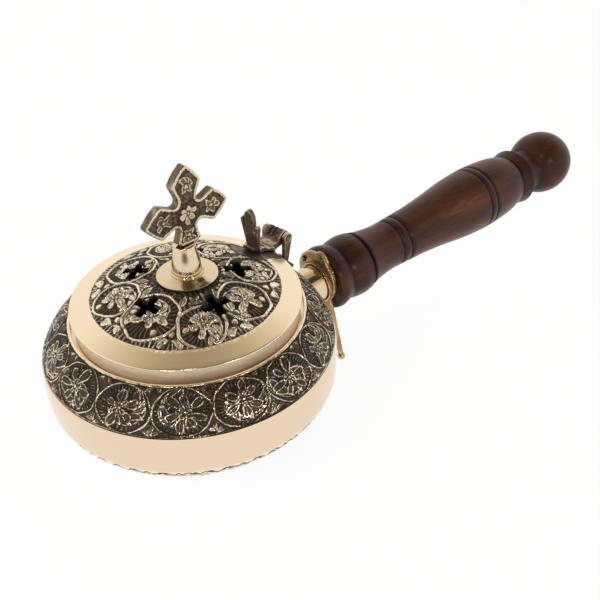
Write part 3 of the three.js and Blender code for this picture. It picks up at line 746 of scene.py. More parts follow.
def piercing_tree() -> Tree:
    """A tree that cuts a ring of equal openings through a solid.

    The opening's own solid is an object, which is turned so that one arm points outwards.
    """
    tree = Tree("Ring of openings", {"Opening": "Object", "Count": "Int", "Ring radius": "Float", "Turn": "Float"})
    desk, given = tree.desk, tree.given
    spots, angle, turn = tree.around(given["Turn"])
    spot = desk.out("ShaderNodeCombineXYZ", {
        "X": desk.math("MULTIPLY", given["Ring radius"], desk.math("COSINE", angle)),
        "Y": desk.math("MULTIPLY", given["Ring radius"], desk.math("SINE", angle)),
    })
    placed = desk.out("GeometryNodeSetPosition", {"Geometry": spots, "Position": spot})
    tools = tree.real(tree.copies(placed, tree.solid_of("Opening"), turn))
    cut = desk.out("GeometryNodeMeshBoolean", {0: given["Geometry"], 1: tools}, operation="DIFFERENCE")
    return tree.end(cut)


def scatter_tree() -> Tree:
    """A tree that sets a copy of one small solid on each point of a mesh, along the stored direction."""
    tree = Tree("Rivets", {"Rivet": "Object"})
    desk = tree.desk
    along = desk.out("GeometryNodeInputNamedAttribute", {"Name": "axis"}, data_type="FLOAT_VECTOR")
    turn = desk.out("FunctionNodeAlignRotationToVector", {"Vector": along}, axis="Z")
    spots = desk.out("GeometryNodeMeshToPoints", {"Mesh": tree.given["Geometry"]})
    return tree.end(tree.copies(spots, tree.solid_of("Rivet"), turn))


def turned_mesh(
    name: str, outline: Points, tree: Tree, segments: int, finish: Finish, sharp: float,
) -> bpy.types.Mesh:
    """Turns an outline about the Z axis.

    Args:
        name: the mesh's name.
        outline: (radius, height) points, from the axis or a closed run.
        tree: the turning tree.
        segments: number of flats round the axis.
        finish: its finish.
        sharp: edges above this angle stay sharp, in degrees.

    Returns:
        The mesh, with its faces outwards.
    """
    line = np.column_stack([outline[:, 0], -outline[:, 1], np.zeros(len(outline))])
    edges = [(i, i + 1) for i in range(len(line) - 1)]
    made = tree.run(name, new_mesh(name, line, [], edges), {
        "Segments": segments, "Sharp angle": math.radians(sharp), "Material": material_of(finish),
    })
    face_outwards(made)
    return made


def hand_over(
    name: str, mesh: bpy.types.Mesh, body: Body, finish: Finish, nodes: tuple[str, ...] = (),
    to_world: Matrix | None = None,
) -> None:
    """Puts a finished mesh in the scene, in place of CAD nodes.

    Args:
        name: the piece's name.
        mesh: its mesh, in millimetres.
        body: the body it rides on.
        finish: its finish, which gives the material if the mesh has none.
        nodes: the CAD nodes that it stands for.
        to_world: from the mesh's own frame to the object's, in millimetres.
    """
    if not mesh.materials:
        mesh.materials.append(material_of(finish))
    mesh.transform(Matrix.Scale(METRES, 4) @ (to_world or Matrix.Identity(4)))
    piece = new_object(name, mesh)
    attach(piece, body.value)
    if nodes:
        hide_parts(*nodes)
    log.info("%s: %d faces on %s", name, len(mesh.polygons), body.value)


def recast(name: str, mesh: bpy.types.Mesh, voxel: float, rounds: int) -> bpy.types.Mesh:
    """A cast version of a solid: evenly meshed, with its edges rounded.

    Args:
        name: the new mesh's name.
        mesh: the solid, in millimetres.
        voxel: size of the mesh's cells.
        rounds: how often it is smoothed.

    Returns:
        The mesh in millimetres.
    """
    carrier = new_object(name, mesh)
    even = carrier.modifiers.new("Even", "REMESH")
    even.mode = "VOXEL"
    even.voxel_size = voxel
    even.use_smooth_shade = True
    soft = carrier.modifiers.new("Soft", "SMOOTH")
    soft.factor = 0.5
    soft.iterations = rounds
    return evaluated(carrier, name)


def recast_node(name: str, node: str, to_local: Matrix, voxel: float, rounds: int) -> bpy.types.Mesh:
    """A cast version of a CAD node, in a piece's own frame.

    Args:
        name: the new mesh's name.
        node: the CAD node's name.
        to_local: from the object's frame to the piece's own, in millimetres.
        voxel: size of the mesh's cells.
        rounds: how often it is smoothed.

    Returns:
        The mesh in millimetres.
    """
    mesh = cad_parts[node].data.copy()
    mesh.materials.clear()
    mesh.transform(to_local @ Matrix.Scale(1 / METRES, 4))
    return recast(name, mesh, voxel, rounds)


def bulge(mesh: bpy.types.Mesh, reach: float, rounds: int = 2) -> Points:
    """How far each corner stands out from its neighbours: 1 on worn edges, 0 in hollows.

    Args:
        mesh: an evenly meshed piece.
        reach: the height that counts as fully out or in.
        rounds: how often the value is spread to the neighbours.

    Returns:
        One number for each corner.
    """
    p = corners(mesh)
    normal = corner_normals(mesh)
    e = np.empty(len(mesh.edges) * 2, int)
    mesh.edges.foreach_get("vertices", e)
    a, b = e.reshape(-1, 2).T
    count = np.bincount(a, minlength=len(p)) + np.bincount(b, minlength=len(p))
    count = np.maximum(count, 1)

    def mean(values: Points) -> Points:
        """Mean of the neighbours' values."""
        total = np.zeros_like(values)
        np.add.at(total, a, values[b])
        np.add.at(total, b, values[a])
        return total / (count[:, None] if values.ndim == 2 else count)

    out = np.einsum("ij,ij->i", p - mean(mean(p)), normal)
    for _ in range(rounds):
        out = mean(out)
    return np.clip(0.5 + 0.5 * out / reach, 0, 1)


# Ornament: heights run from 0 at the bottom of the cuts to 1 on top of the work


def ramp(value: Points, low: float, high: float) -> Points:
    """A soft step from 0 at low to 1 at high."""
    t = np.clip((value - low) / (high - low), 0, 1)
    return t * t * (3 - 2 * t)


def ridge(distance: Points, width: float, soft: float = 0.16) -> Points:
    """A raised line: 1 at its middle, falling to 0 beside it."""
    return ramp(distance, width / 2 + soft, width / 2 - soft)


def stipple(x: Points, y: Points, amount: float) -> Points:
    """A fine uneven ground, between 0 and amount."""
    wave = np.sin(5.1 * x + 1.7 * np.sin(2.3 * y)) * np.sin(4.7 * y + 1.3 * np.sin(3.1 * x))
    return amount * (0.5 + 0.5 * wave)


def ring_spot(radius: float, way: float) -> tuple[float, float]:
    """The place at a distance from the middle, at an angle from the second axis."""
    return -radius * math.sin(way), radius * math.cos(way)


@dataclass
class Sheet:
    """A patch of ornament that is worked in layers, each over the ones before.

    It holds the places' coordinates in millimetres and their heights, which are changed in place.
    """

    x: Points
    y: Points
    height: Points

    def seen_from(self, at: tuple[float, float], turn: float = 0.0, mirrored: bool = False) -> "Sheet":
        """The same patch in the coordinates of another place and direction.

        Args:
            at: the place.
            turn: the direction of its first axis in radians.
            mirrored: whether left and right change places.

        Returns:
            A sheet that shares this one's heights.
        """
        dx, dy = self.x - at[0], self.y - at[1]
        c, s = math.cos(turn), math.sin(turn)
        x = dx * c + dy * s
        return Sheet(-x if mirrored else x, dy * c - dx * s, self.height)

    def lay(self, gap: Points, height: Points | float, moat: float = 0.3) -> None:
        """Lays a form over what is there, with a narrow dark moat round it.

        Args:
            gap: distance to the form's edge, negative inside.
            height: the form's height.
            moat: the width of the moat.
        """
        kept = self.height * ramp(gap, 0.0, moat)
        self.height[:] = np.maximum(kept, height * ramp(gap, 0.14, -0.14))

    def line(self, distance: Points, width: float, height: float = 1.0, moat: float = 0.25) -> None:
        """Lays a rounded line, from the distance to its middle."""
        round_top = 1 - 0.4 * np.clip(2 * distance / width, 0, 1) ** 2
        self.lay(distance - width / 2, height * round_top, moat)

    def bead(self, at: tuple[float, float], radius: float, height: float = 0.95) -> None:
        """Lays a domed bead."""
        away = np.hypot(self.x - at[0], self.y - at[1])
        self.lay(away - radius, height * (1 - 0.45 * np.clip(away / radius, 0, 1) ** 2))

    def petal(self, at: tuple[float, float], half: tuple[float, float], turn: float, hollow: float, vein: float,
              bend: float = 0.0, height: float = 1.0) -> None:
        """Lays a pointed petal with a raised edge.

        Args:
            at: its middle.
            half: half its length and half its width.
            turn: the direction of its length in radians.
            hollow: how deep it is inside.
            vein: height of the rib along its middle.
            bend: how far it curves aside, as a share of its half length.
            height: height of its edge.
        """
        dx, dy = self.x - at[0], self.y - at[1]
        u = (dx * math.cos(turn) + dy * math.sin(turn)) / half[0]
        v = -dx * math.sin(turn) + dy * math.cos(turn) + bend * half[0] * (u * u - 0.3)
        wide = half[1] * np.clip(1 - u * u, 0, 1) ** 0.62 * (1 + 0.35 * u)
        gap = np.maximum(np.abs(v) - wide, (np.abs(u) - 1) * half[0])
        shape = 1.0 - hollow * ramp(-gap, 0.2, 0.2 + 0.45 * half[1])
        shape = shape + vein * np.exp(-(v / 0.2) ** 2) * ramp(-gap, 0.15, 0.35)
        self.lay(gap, shape * height)

    def flower(self, at: tuple[float, float], count: int, reach: float, half: tuple[float, float], first: float = 0.0,
               spread: float = 2 * math.pi, hollow: float = 0.55, vein: float = 0.0, boss: float = 0.0,
               seed: int = 0) -> None:
        """Lays a fan of petals round a point, each a little different as in hand work.

        Args:
            at: the point.
            count: number of petals.
            reach: distance from the point to each petal's middle.
            half: half the length and half the width of a petal.
            first: direction of the first petal in radians.
            spread: angle that the fan covers.
            hollow: how deep the petals are inside.
            vein: height of their ribs.
            boss: radius of the bead in the middle, or 0.
            seed: picks the differences between the petals.
        """
        draw = np.random.default_rng(seed)
        for k in range(count):
            turn = first + spread * k / count + draw.uniform(-0.17, 0.17)
            longer, wider, bend = draw.uniform(0.85, 1.2), draw.uniform(0.8, 1.15), draw.uniform(-0.35, 0.35)
            spot = (at[0] + reach * longer * math.cos(turn), at[1] + reach * longer * math.sin(turn))
            self.petal(spot, (half[0] * longer, half[1] * wider), turn, hollow, vein, bend)
        if boss:
            self.bead(at, boss)

    def strokes(self, across: Points, spacing: float, bounds: Points, width: float, height: float = 0.75) -> None:
        """Lays parallel strokes.

        Args:
            across: the coordinate that the strokes stand across, in units of their number.
            spacing: millimetres in one such unit.
            bounds: distance to the hatched field's edge, negative inside.
            width: width of a stroke.
            height: height of a stroke.
        """
        beside = np.abs(across - np.round(across)) * spacing
        self.lay(np.maximum(beside - width / 2, bounds), height, 0.12)


@dataclass
class Medallion:
    """A scroll that winds in to a large flower, with leaves on its arm and slanted strokes along its ring."""

    half_width: float
    half_height: float
    seed: int
    ring: float = 0.7
    arm: float = 0.5
    strokes: int = 34
    slant: float = 1.5
    stroke_height: float = 0.75
    stroke_from: float = 0.55
    petals: int = 6
    leaves: int = 4
    berries: int = 0
    hollow: float = 0.65
    spread: float = 1.0
    arm_turn: float = 4.4
    arm_pull: float = 0.1
    leaf_half: tuple[float, float] = (0.26, 0.13)
    petal_half: tuple[float, float] = (0.25, 0.145)
    petal_reach: float = 0.37
    heart_half: tuple[float, float] = (0.15, 0.1)
    heart_reach: float = 0.16
    heart_bead: float = 0.08

    def sized(self, half: tuple[float, float], size: float) -> tuple[float, float]:
        """Half the length and half the width of a leaf or petal."""
        return half[0] * self.spread * size, half[1] * self.spread * size

    def spot(self, share: float, way: float) -> tuple[float, float]:
        """The place at a share of the distance to the ring, in a direction."""
        return share * self.half_width * math.cos(way), share * self.half_height * math.sin(way)

    def draw(self, sheet: Sheet) -> None:
        """Draws the medallion about the sheet's origin."""
        draw = np.random.default_rng(self.seed)
        x, y = sheet.x, sheet.y
        q = np.hypot(x / self.half_width, y / self.half_height)
        size = math.sqrt(self.half_width * self.half_height)
        turn = np.arctan2(y / self.half_height, x / self.half_width)
        edge = (q - 1) * size
        sheet.lay(edge, stipple(x, y, 0.16), 0.05)
        across = turn * self.strokes / (2 * math.pi) + self.slant * q
        spacing = 2 * math.pi * np.maximum(q, 0.3) * size / self.strokes
        hatched = np.maximum(self.stroke_from - q, q - 0.91) * size
        sheet.strokes(across, spacing, hatched, 0.55, self.stroke_height)
        start = draw.uniform(-3.0, 3.0)
        after = (turn - start) % (2 * math.pi)
        from_arm = np.abs(q - 0.98 + self.arm_pull * after) * size
        sheet.line(np.where(after < self.arm_turn, from_arm, AWAY), self.arm, 0.9)
        sheet.line(np.abs(edge), self.ring)
        for k in range(self.leaves):
            way = start + 0.6 + 4.2 * k / self.leaves
            lean = way + 2.3 + draw.uniform(-0.35, 0.35)
            bend = draw.uniform(-0.5, 0.5)
            spot = self.spot(0.8 - self.arm_pull * (way - start), way)
            sheet.petal(spot, self.sized(self.leaf_half, size), lean, self.hollow, 0.35, bend)
        centre = (draw.uniform(-0.12, 0.12) * size, draw.uniform(-0.1, 0.1) * size)
        first = draw.uniform(0, 1)
        sheet.flower(centre, self.petals, self.petal_reach * self.spread * size, self.sized(self.petal_half, size),
                     first, hollow=self.hollow, vein=0.4, seed=self.seed + 1)
        heart = (self.heart_half[0] * size, self.heart_half[1] * size)
        sheet.flower(centre, self.petals - 1, self.heart_reach * size, heart, first + 0.5,
                     hollow=0.45, boss=self.heart_bead * size, seed=self.seed + 2)
        for k in range(self.berries):
            sheet.bead(self.spot(0.74, start + 5.1 + 2.2 * k), 0.14 * size, 0.9)


# Pieces


@dataclass
class Bowl:
    """The cast bowl: engraved shoulder, plain belly band, engraved underside, foot, and the hollow."""

    foot_radius: float = 26.5
    foot_height: float = 1.2
    foot_step: float = 1.0
    foot_pull: float = 12.0
    corner_radius: float = 8.0
    corner_sweep: float = 33.0
    corner_level: float = 22.3
    corner_pull: float = 10.0
    belly_radius: float = 55.4
    belly_height: float = 29.2
    band_draw: float = 0.66
    band_height: float = 6.9
    shoulder_height: float = 12.5
    shoulder_swell: float = 1.6
    mouth_radius: float = 43.5
    rim_width: float = 0.9
    wall: float = 2.4
    seat_depth: float = 2.0
    seat_width: float = 3.4
    seat_thickness: float = 2.2
    plain_from: float = 21.0
    cut: float = 0.5
    joint_level: float = 26.5
    sectors: int = 4
    medallions: int = 16
    shoulder_columns: int = 256
    under_columns: int = 200
    shoulder_step: float = 0.31
    under_step: float = 0.52
    upper_wall_step: float = 2.0
    lower_wall_step: float = 1.2
    inner_step: float = 3.0
    inner_share: float = 0.8
    joint_clearance: float = 0.5
    corner_row: float = 0.06
    mouth_round: float = 0.25
    rim_round: float = 0.1
    foot_round: float = 0.3
    seam: float = 0.002
    scroll_border: float = 4.6
    leaf_count: int = 24
    tooth_count: int = 180
    wedge_half_width: float = 3.6
    wedge_from: float = 0.9
    seam_stroke: float = 0.42
    crescent_gap: float = 0.95
    crescent_width: float = 0.35
    lower_line: float = 0.6
    upper_line: float = 1.0
    # Seed, petals, slant and hollow of the medallions in a sector
    kinds: tuple[tuple[int, int, float, float], ...] = (
        (31, 6, 1.6, 0.7), (42, 5, -1.2, 0.58), (57, 7, 1.4, 0.66), (64, 6, -1.6, 0.54),
    )
    # Leaves below the rim at each seam: place from the rim, half sizes, turn, hollow, vein, bend, height
    seam_leaves: tuple[tuple, ...] = (
        ((0.3, 2.6), (2.5, 1.9), -math.pi / 2, 0.25, 0.2, 0.2, 0.75),
        ((-1.9, 1.6), (1.6, 0.8), -2.6, 0.3, 0.2, 0.3, 0.9),
        ((2.1, 1.7), (1.5, 0.8), -0.6, 0.3, 0.2, -0.3, 0.9),
    )

    def shoulder(self) -> Points:
        """Outline of the shoulder from the belly band up to the mouth rim."""
        low = np.array([self.belly_radius - self.band_draw, self.belly_height + self.band_height])
        high = np.array([self.mouth_radius, low[1] + self.shoulder_height])
        draw = low[0] - high[0]
        chord = math.hypot(draw, self.shoulder_height)
        radius = chord ** 2 / (8 * self.shoulder_swell) + self.shoulder_swell / 2
        half = math.asin(chord / 2 / radius)
        middle = math.atan2(draw, self.shoulder_height)
        centre = high - radius * np.array([math.cos(middle + half), math.sin(middle + half)])
        return arc(centre[0], centre[1], radius, middle - half, middle + half, 60)

    def side(self) -> Points:
        """Outline from above the foot to the top of the belly band."""
        sweep = math.radians(self.corner_sweep)
        corner = arc(self.belly_radius - self.corner_radius, self.corner_level, self.corner_radius, -sweep, 0, 16)
        start = np.array([self.foot_radius + self.foot_step, self.foot_height])
        pull = np.array([math.sin(sweep), math.cos(sweep)]) * self.corner_pull
        under = bezier(start, start + [self.foot_pull, 0], corner[0] - pull, corner[0], 60)
        radius = (self.band_height ** 2 + self.band_draw ** 2) / (2 * self.band_draw)
        reach = math.asin(self.band_height / radius)
        band = arc(self.belly_radius - radius, self.belly_height, radius, 0, reach, 16)
        return np.vstack([under[:-1], corner, band])

    def inner_wall(self) -> Points:
        """Outline of the inner wall, from the floor up to the underside of the seat."""
        shoulder = self.shoulder()
        skin = np.vstack([self.side(), shoulder[:int(len(shoulder) * self.inner_share)]])
        return moved(evenly(skin, self.inner_step), -self.wall)

    def upper_rows(self) -> list[Points]:
        """Rows of the upper part, in zones: belly wall, shoulder, mouth and inner wall."""
        side = self.side()
        joint = int(np.searchsorted(side[:, 1], self.joint_level))
        wall = evenly(np.vstack([[[self.belly_radius, self.joint_level]], side[joint:]]), self.upper_wall_step)
        beside_corner = (1 - self.corner_row) * wall[-1] + self.corner_row * wall[-2]
        wall = np.insert(wall, len(wall) - 1, beside_corner, axis=0)
        shoulder = evenly(self.shoulder(), self.shoulder_step)
        rim = shoulder[-1][1]
        bore = self.mouth_radius - self.rim_width
        seat = rim - self.seat_depth
        seat_bore = bore - self.seat_width
        mouth = np.array([
            [self.mouth_radius - self.mouth_round, rim], [bore + self.rim_round, rim], [bore, rim - self.rim_round],
            [bore, seat], [seat_bore, seat], [seat_bore, seat - self.seat_thickness],
        ])
        inside = self.inner_wall()[::-1]
        inside = inside[inside[:, 1] > self.joint_level + self.joint_clearance]
        last = np.array([[self.belly_radius - self.wall, self.joint_level]])
        return [wall[:-1], shoulder, mouth, np.vstack([inside, last])]

    def lower_rows(self) -> list[Points]:
        """Rows of the lower part, in zones: foot, underside, belly wall and inner wall."""
        side = self.side()
        split = int(np.searchsorted(side[:, 1], self.plain_from))
        joint = int(np.searchsorted(side[:, 1], self.joint_level))
        foot = np.array([
            [0.0, 0.0], [self.foot_radius - self.foot_round, 0.0], [self.foot_radius, self.foot_round],
            [self.foot_radius, self.foot_height],
        ])
        under = evenly(side[:split + 1], self.under_step)
        wall = np.vstack([side[split:joint], [[self.belly_radius, self.joint_level]]])
        wall = evenly(wall, self.lower_wall_step)
        inside = self.inner_wall()[::-1]
        inside = inside[inside[:, 1] < self.joint_level - self.joint_clearance]
        first = np.array([[self.belly_radius - self.wall, self.joint_level]])
        floor = np.array([[0.0, self.foot_height + self.wall]])
        return [foot, under, wall[1:], np.vstack([first, inside, floor])]

    def shoulder_height_at(self, x: Points, y: Points, span: float, pitch: float) -> Points:
        """Height of the engraving on the shoulder.

        Args:
            x: distance round the bowl, from the seam between two medallions.
            y: distance up the shoulder.
            span: whole length of the shoulder's outline.
            pitch: distance from one medallion to the next.

        Returns:
            The heights.
        """
        count = self.medallions // self.sectors

        def wave(size: float, seed: int) -> Points:
            """An uneven value that repeats from sector to sector."""
            return uneven(x, y, size, seed, count * pitch)

        sheet = Sheet(x + 0.28 * wave(9.0, 1) + 0.06 * wave(2.4, 2), y + 0.24 * wave(9.0, 3) + 0.06 * wave(2.4, 4),
                      0.1 + 0.1 * wave(1.5, 5))
        middle = span / 2
        half = (pitch / 2 - 0.15, span / 2 - 0.6)
        for k in range(-1, count + 2):
            seam = sheet.seen_from((k * pitch, 0.0), mirrored=k % 2 == 1)
            wedge = np.maximum(np.abs(seam.x) - self.wedge_half_width, self.wedge_from - seam.y)
            for spacing, slope, end in ((0.95, 0.8, seam.y - middle + 1.5), (1.0, -0.9, middle + 1.8 - seam.y)):
                across = (seam.x + slope * seam.y) / spacing
                seam.strokes(across, spacing, np.maximum(wedge, end), self.seam_stroke)
            seam.flower((0.0, 0.6), 3, 2.4, (2.3, 0.9), math.pi / 2 - 0.85, 2.5, 0.55, 0.4, seed=20 + k % count)
            for (aside, below), *look in self.seam_leaves:
                seam.petal((aside, span - below), *look)
        for k in range(-1, count + 1):
            near = sheet.seen_from(((k + 0.5) * pitch, middle))
            outer = (np.hypot(near.x / half[0], near.y / half[1]) - 1) * math.sqrt(half[0] * half[1])
            crescent = np.abs(outer - self.crescent_gap)
            near.line(np.where(np.abs(near.y) > 3.2, crescent, AWAY), self.crescent_width, 0.8)
        for k in range(-1, count + 1):
            seed, petals, slant, hollow = self.kinds[k % count]
            Medallion(*half, seed=seed, petals=petals, slant=slant, hollow=hollow, ring=0.65, arm=0.65, spread=1.2,
                      stroke_from=0.68, leaves=6, strokes=38,
                      ).draw(sheet.seen_from(((k + 0.5) * pitch, middle), mirrored=k % 2 == 1))
        sheet.line(np.abs(y - 0.35), self.lower_line)
        sheet.line(np.abs(span - y), self.upper_line)
        return np.clip(sheet.height * (0.92 + 0.12 * wave(2.2, 6)), 0, 1)

    def under_height_at(self, angle: Points, radius: Points, y: Points, span: float) -> Points:
        """Height of the engraving under the belly: long leaves that point to the foot, between lines.

        Args:
            angle: direction round the bowl in radians.
            radius: distance from the axis.
            y: distance up from the foot.
            span: whole length of the underside's outline.

        Returns:
            The heights.
        """
        count = self.leaf_count
        share = angle * count / (2 * math.pi)
        aside = (share - np.round(share)) * 2 * math.pi * radius / count
        between = (share - np.floor(share) - 0.5) * 2 * math.pi * radius / count
        half = 2.6 * radius / self.belly_radius * 1.6
        gap = (np.hypot((y - span * 0.5) / (span * 0.36), aside / half) - 1) * half
        leaf = np.maximum(ridge(np.abs(gap), 0.7), 0.8 * ridge(np.abs(gap + 1.1), 0.3))
        veins = np.abs(((y + np.abs(aside) * 1.2) / 1.3) % 1 - 0.5) * 1.3
        veins = np.maximum(ridge(veins, 0.4), ridge(np.abs(aside), 0.4))
        leaf = np.maximum(leaf, np.where(gap < -1.3, veins, 0))
        bud = np.hypot(between, (y - span * 0.86) * 0.9)
        small = np.maximum(ridge(np.abs(bud - 1.3), 0.5), ridge(bud, 0.8))
        tail = np.hypot(between, (y - span * 0.12) * 0.8)
        tail = np.maximum(ridge(np.abs(tail - 0.9), 0.4), ridge(np.abs(between), 0.35))
        small = np.maximum(small, np.where(gap > 0.5, tail, 0))
        from_edge = span - y
        tooth = (angle * self.tooth_count / (2 * math.pi)) % 1
        teeth = np.abs(tooth - 0.5) * 2 * math.pi * radius / self.tooth_count
        edge = np.maximum(ridge(np.abs(from_edge - 5.2), 0.8), 0.8 * ridge(teeth, 0.5) * (from_edge < 7.2))
        edge = np.maximum(edge, ridge(np.abs(from_edge - 7.5), 0.4))
        worked = np.maximum.reduce([leaf, small, edge, ridge(y, 1.2), stipple(aside, y, 0.16)])
        curl = np.minimum(
            np.abs(from_edge - 1.9 - 0.9 * np.sin(angle * 44 + 1.2 * np.sin(angle * 12))),
            np.abs(from_edge - 2.4 - 1.2 * np.sin(angle * 64 + 2.0)),
        )
        return np.where(from_edge < self.scroll_border, 1 - 0.95 * ridge(curl, 0.5, 0.2), worked)

    def sector(self, name: str, rows: list[Points], columns: int, worked: Callable[..., Points]) -> bpy.types.Mesh:
        """One sector of a part, with its ornament cut in.

        Args:
            name: the mesh's name.
            rows: the part's zones of rows, the second of which is worked.
            columns: number of faces across the sector.
            worked: gives the ornament's heights for angle, radius, distance along the zone and its length.

        Returns:
            The sector's mesh.
        """
        line = np.vstack(rows)
        angle = np.linspace(0, 2 * math.pi / self.sectors, columns + 1)
        relief = np.ones((len(line), len(angle)))
        first = len(rows[0])
        along = run_lengths(rows[1])
        a, r = np.meshgrid(angle, rows[1][:, 0])
        y = np.repeat(along[:, None], len(angle), axis=1)
        heights = worked(a.ravel(), r.ravel(), y.ravel(), float(along[-1]))
        relief[first:first + len(along)] = heights.reshape(a.shape)
        way = np.gradient(line, axis=0)
        way /= np.linalg.norm(way, axis=1)[:, None]
        depth = self.cut * (1 - relief)
        radius = line[:, :1] - depth * way[:, 1:2]
        height = line[:, 1:2] + depth * way[:, 0:1]
        points = np.column_stack([grid.ravel() for grid in (radius * np.cos(angle), radius * np.sin(angle), height)])
        faces = grid_faces(len(line), len(angle))
        if line[0, 0] > 0.1:
            start = np.arange(columns)
            last = (len(line) - 1) * len(angle) + start
            faces = np.vstack([faces, np.column_stack([last, last + 1, start + 1, start])])
        mesh = new_mesh(name, points, faces)
        store(mesh, "relief", relief.ravel())
        return mesh

    def finish_part(self, name: str, mesh: bpy.types.Mesh, tree: Tree, nodes: tuple[str, ...]) -> None:
        """Repeats a sector round the axis, dresses the part and hands it over.

        Args:
            name: the part's name.
            mesh: the sector.
            tree: the tree that repeats it.
            nodes: the CAD nodes that the part stands for.
        """
        made = tree.run(name, mesh, {"Count": self.sectors, "Seam": self.seam, "Material": material_of(ENGRAVED)})
        dress(made, (SHOULDER, PLAIN, SOOT), self.finish_of_faces(made))
        face_outwards(made)
        mark_edges(made)
        hand_over(name, made, Body.CENSER, ENGRAVED, nodes)

    def build(self, tree: Tree) -> None:
        """Builds the upper part with the engraved shoulder and the lower part with the foot."""
        pitch = 2 * math.pi / self.medallions
        mean = float(self.shoulder()[:, 0].mean())

        def shoulder_work(angle: Points, _: Points, along: Points, span: float) -> Points:
            """The shoulder's ornament."""
            return self.shoulder_height_at(angle * mean, along, span, pitch * mean)

        upper = self.sector("shoulder sector", self.upper_rows(), self.shoulder_columns, shoulder_work)
        self.finish_part("bowl_shoulder", upper, tree, ("bowl",))
        lower = self.sector("foot sector", self.lower_rows(), self.under_columns, self.under_height_at)
        self.finish_part("bowl_foot", lower, tree, ())

    def finish_of_faces(self, mesh: bpy.types.Mesh) -> Points:
        """For each face 0 where it is engraved, 1 where it is plain and 2 where it is sooty."""
        middle = vectors(mesh.polygons, "center")
        level = middle[:, 2]
        band = self.belly_height + self.band_height
        rim = band + self.shoulder_height
        outline = np.vstack([self.side(), self.shoulder()])
        outer = np.interp(level, outline[:, 1], outline[:, 0])
        skin = np.hypot(middle[:, 0], middle[:, 1]) > outer - self.wall / 2
        under = (level > self.foot_height) & (level < self.plain_from)
        shoulder = (level > band) & (level < rim)
        inside = ~skin & (level > self.foot_height + self.wall / 2) & (level < rim - self.seat_depth - 0.1)
        return np.where(skin & (under | shoulder), 0, np.where(inside, 2, 1))


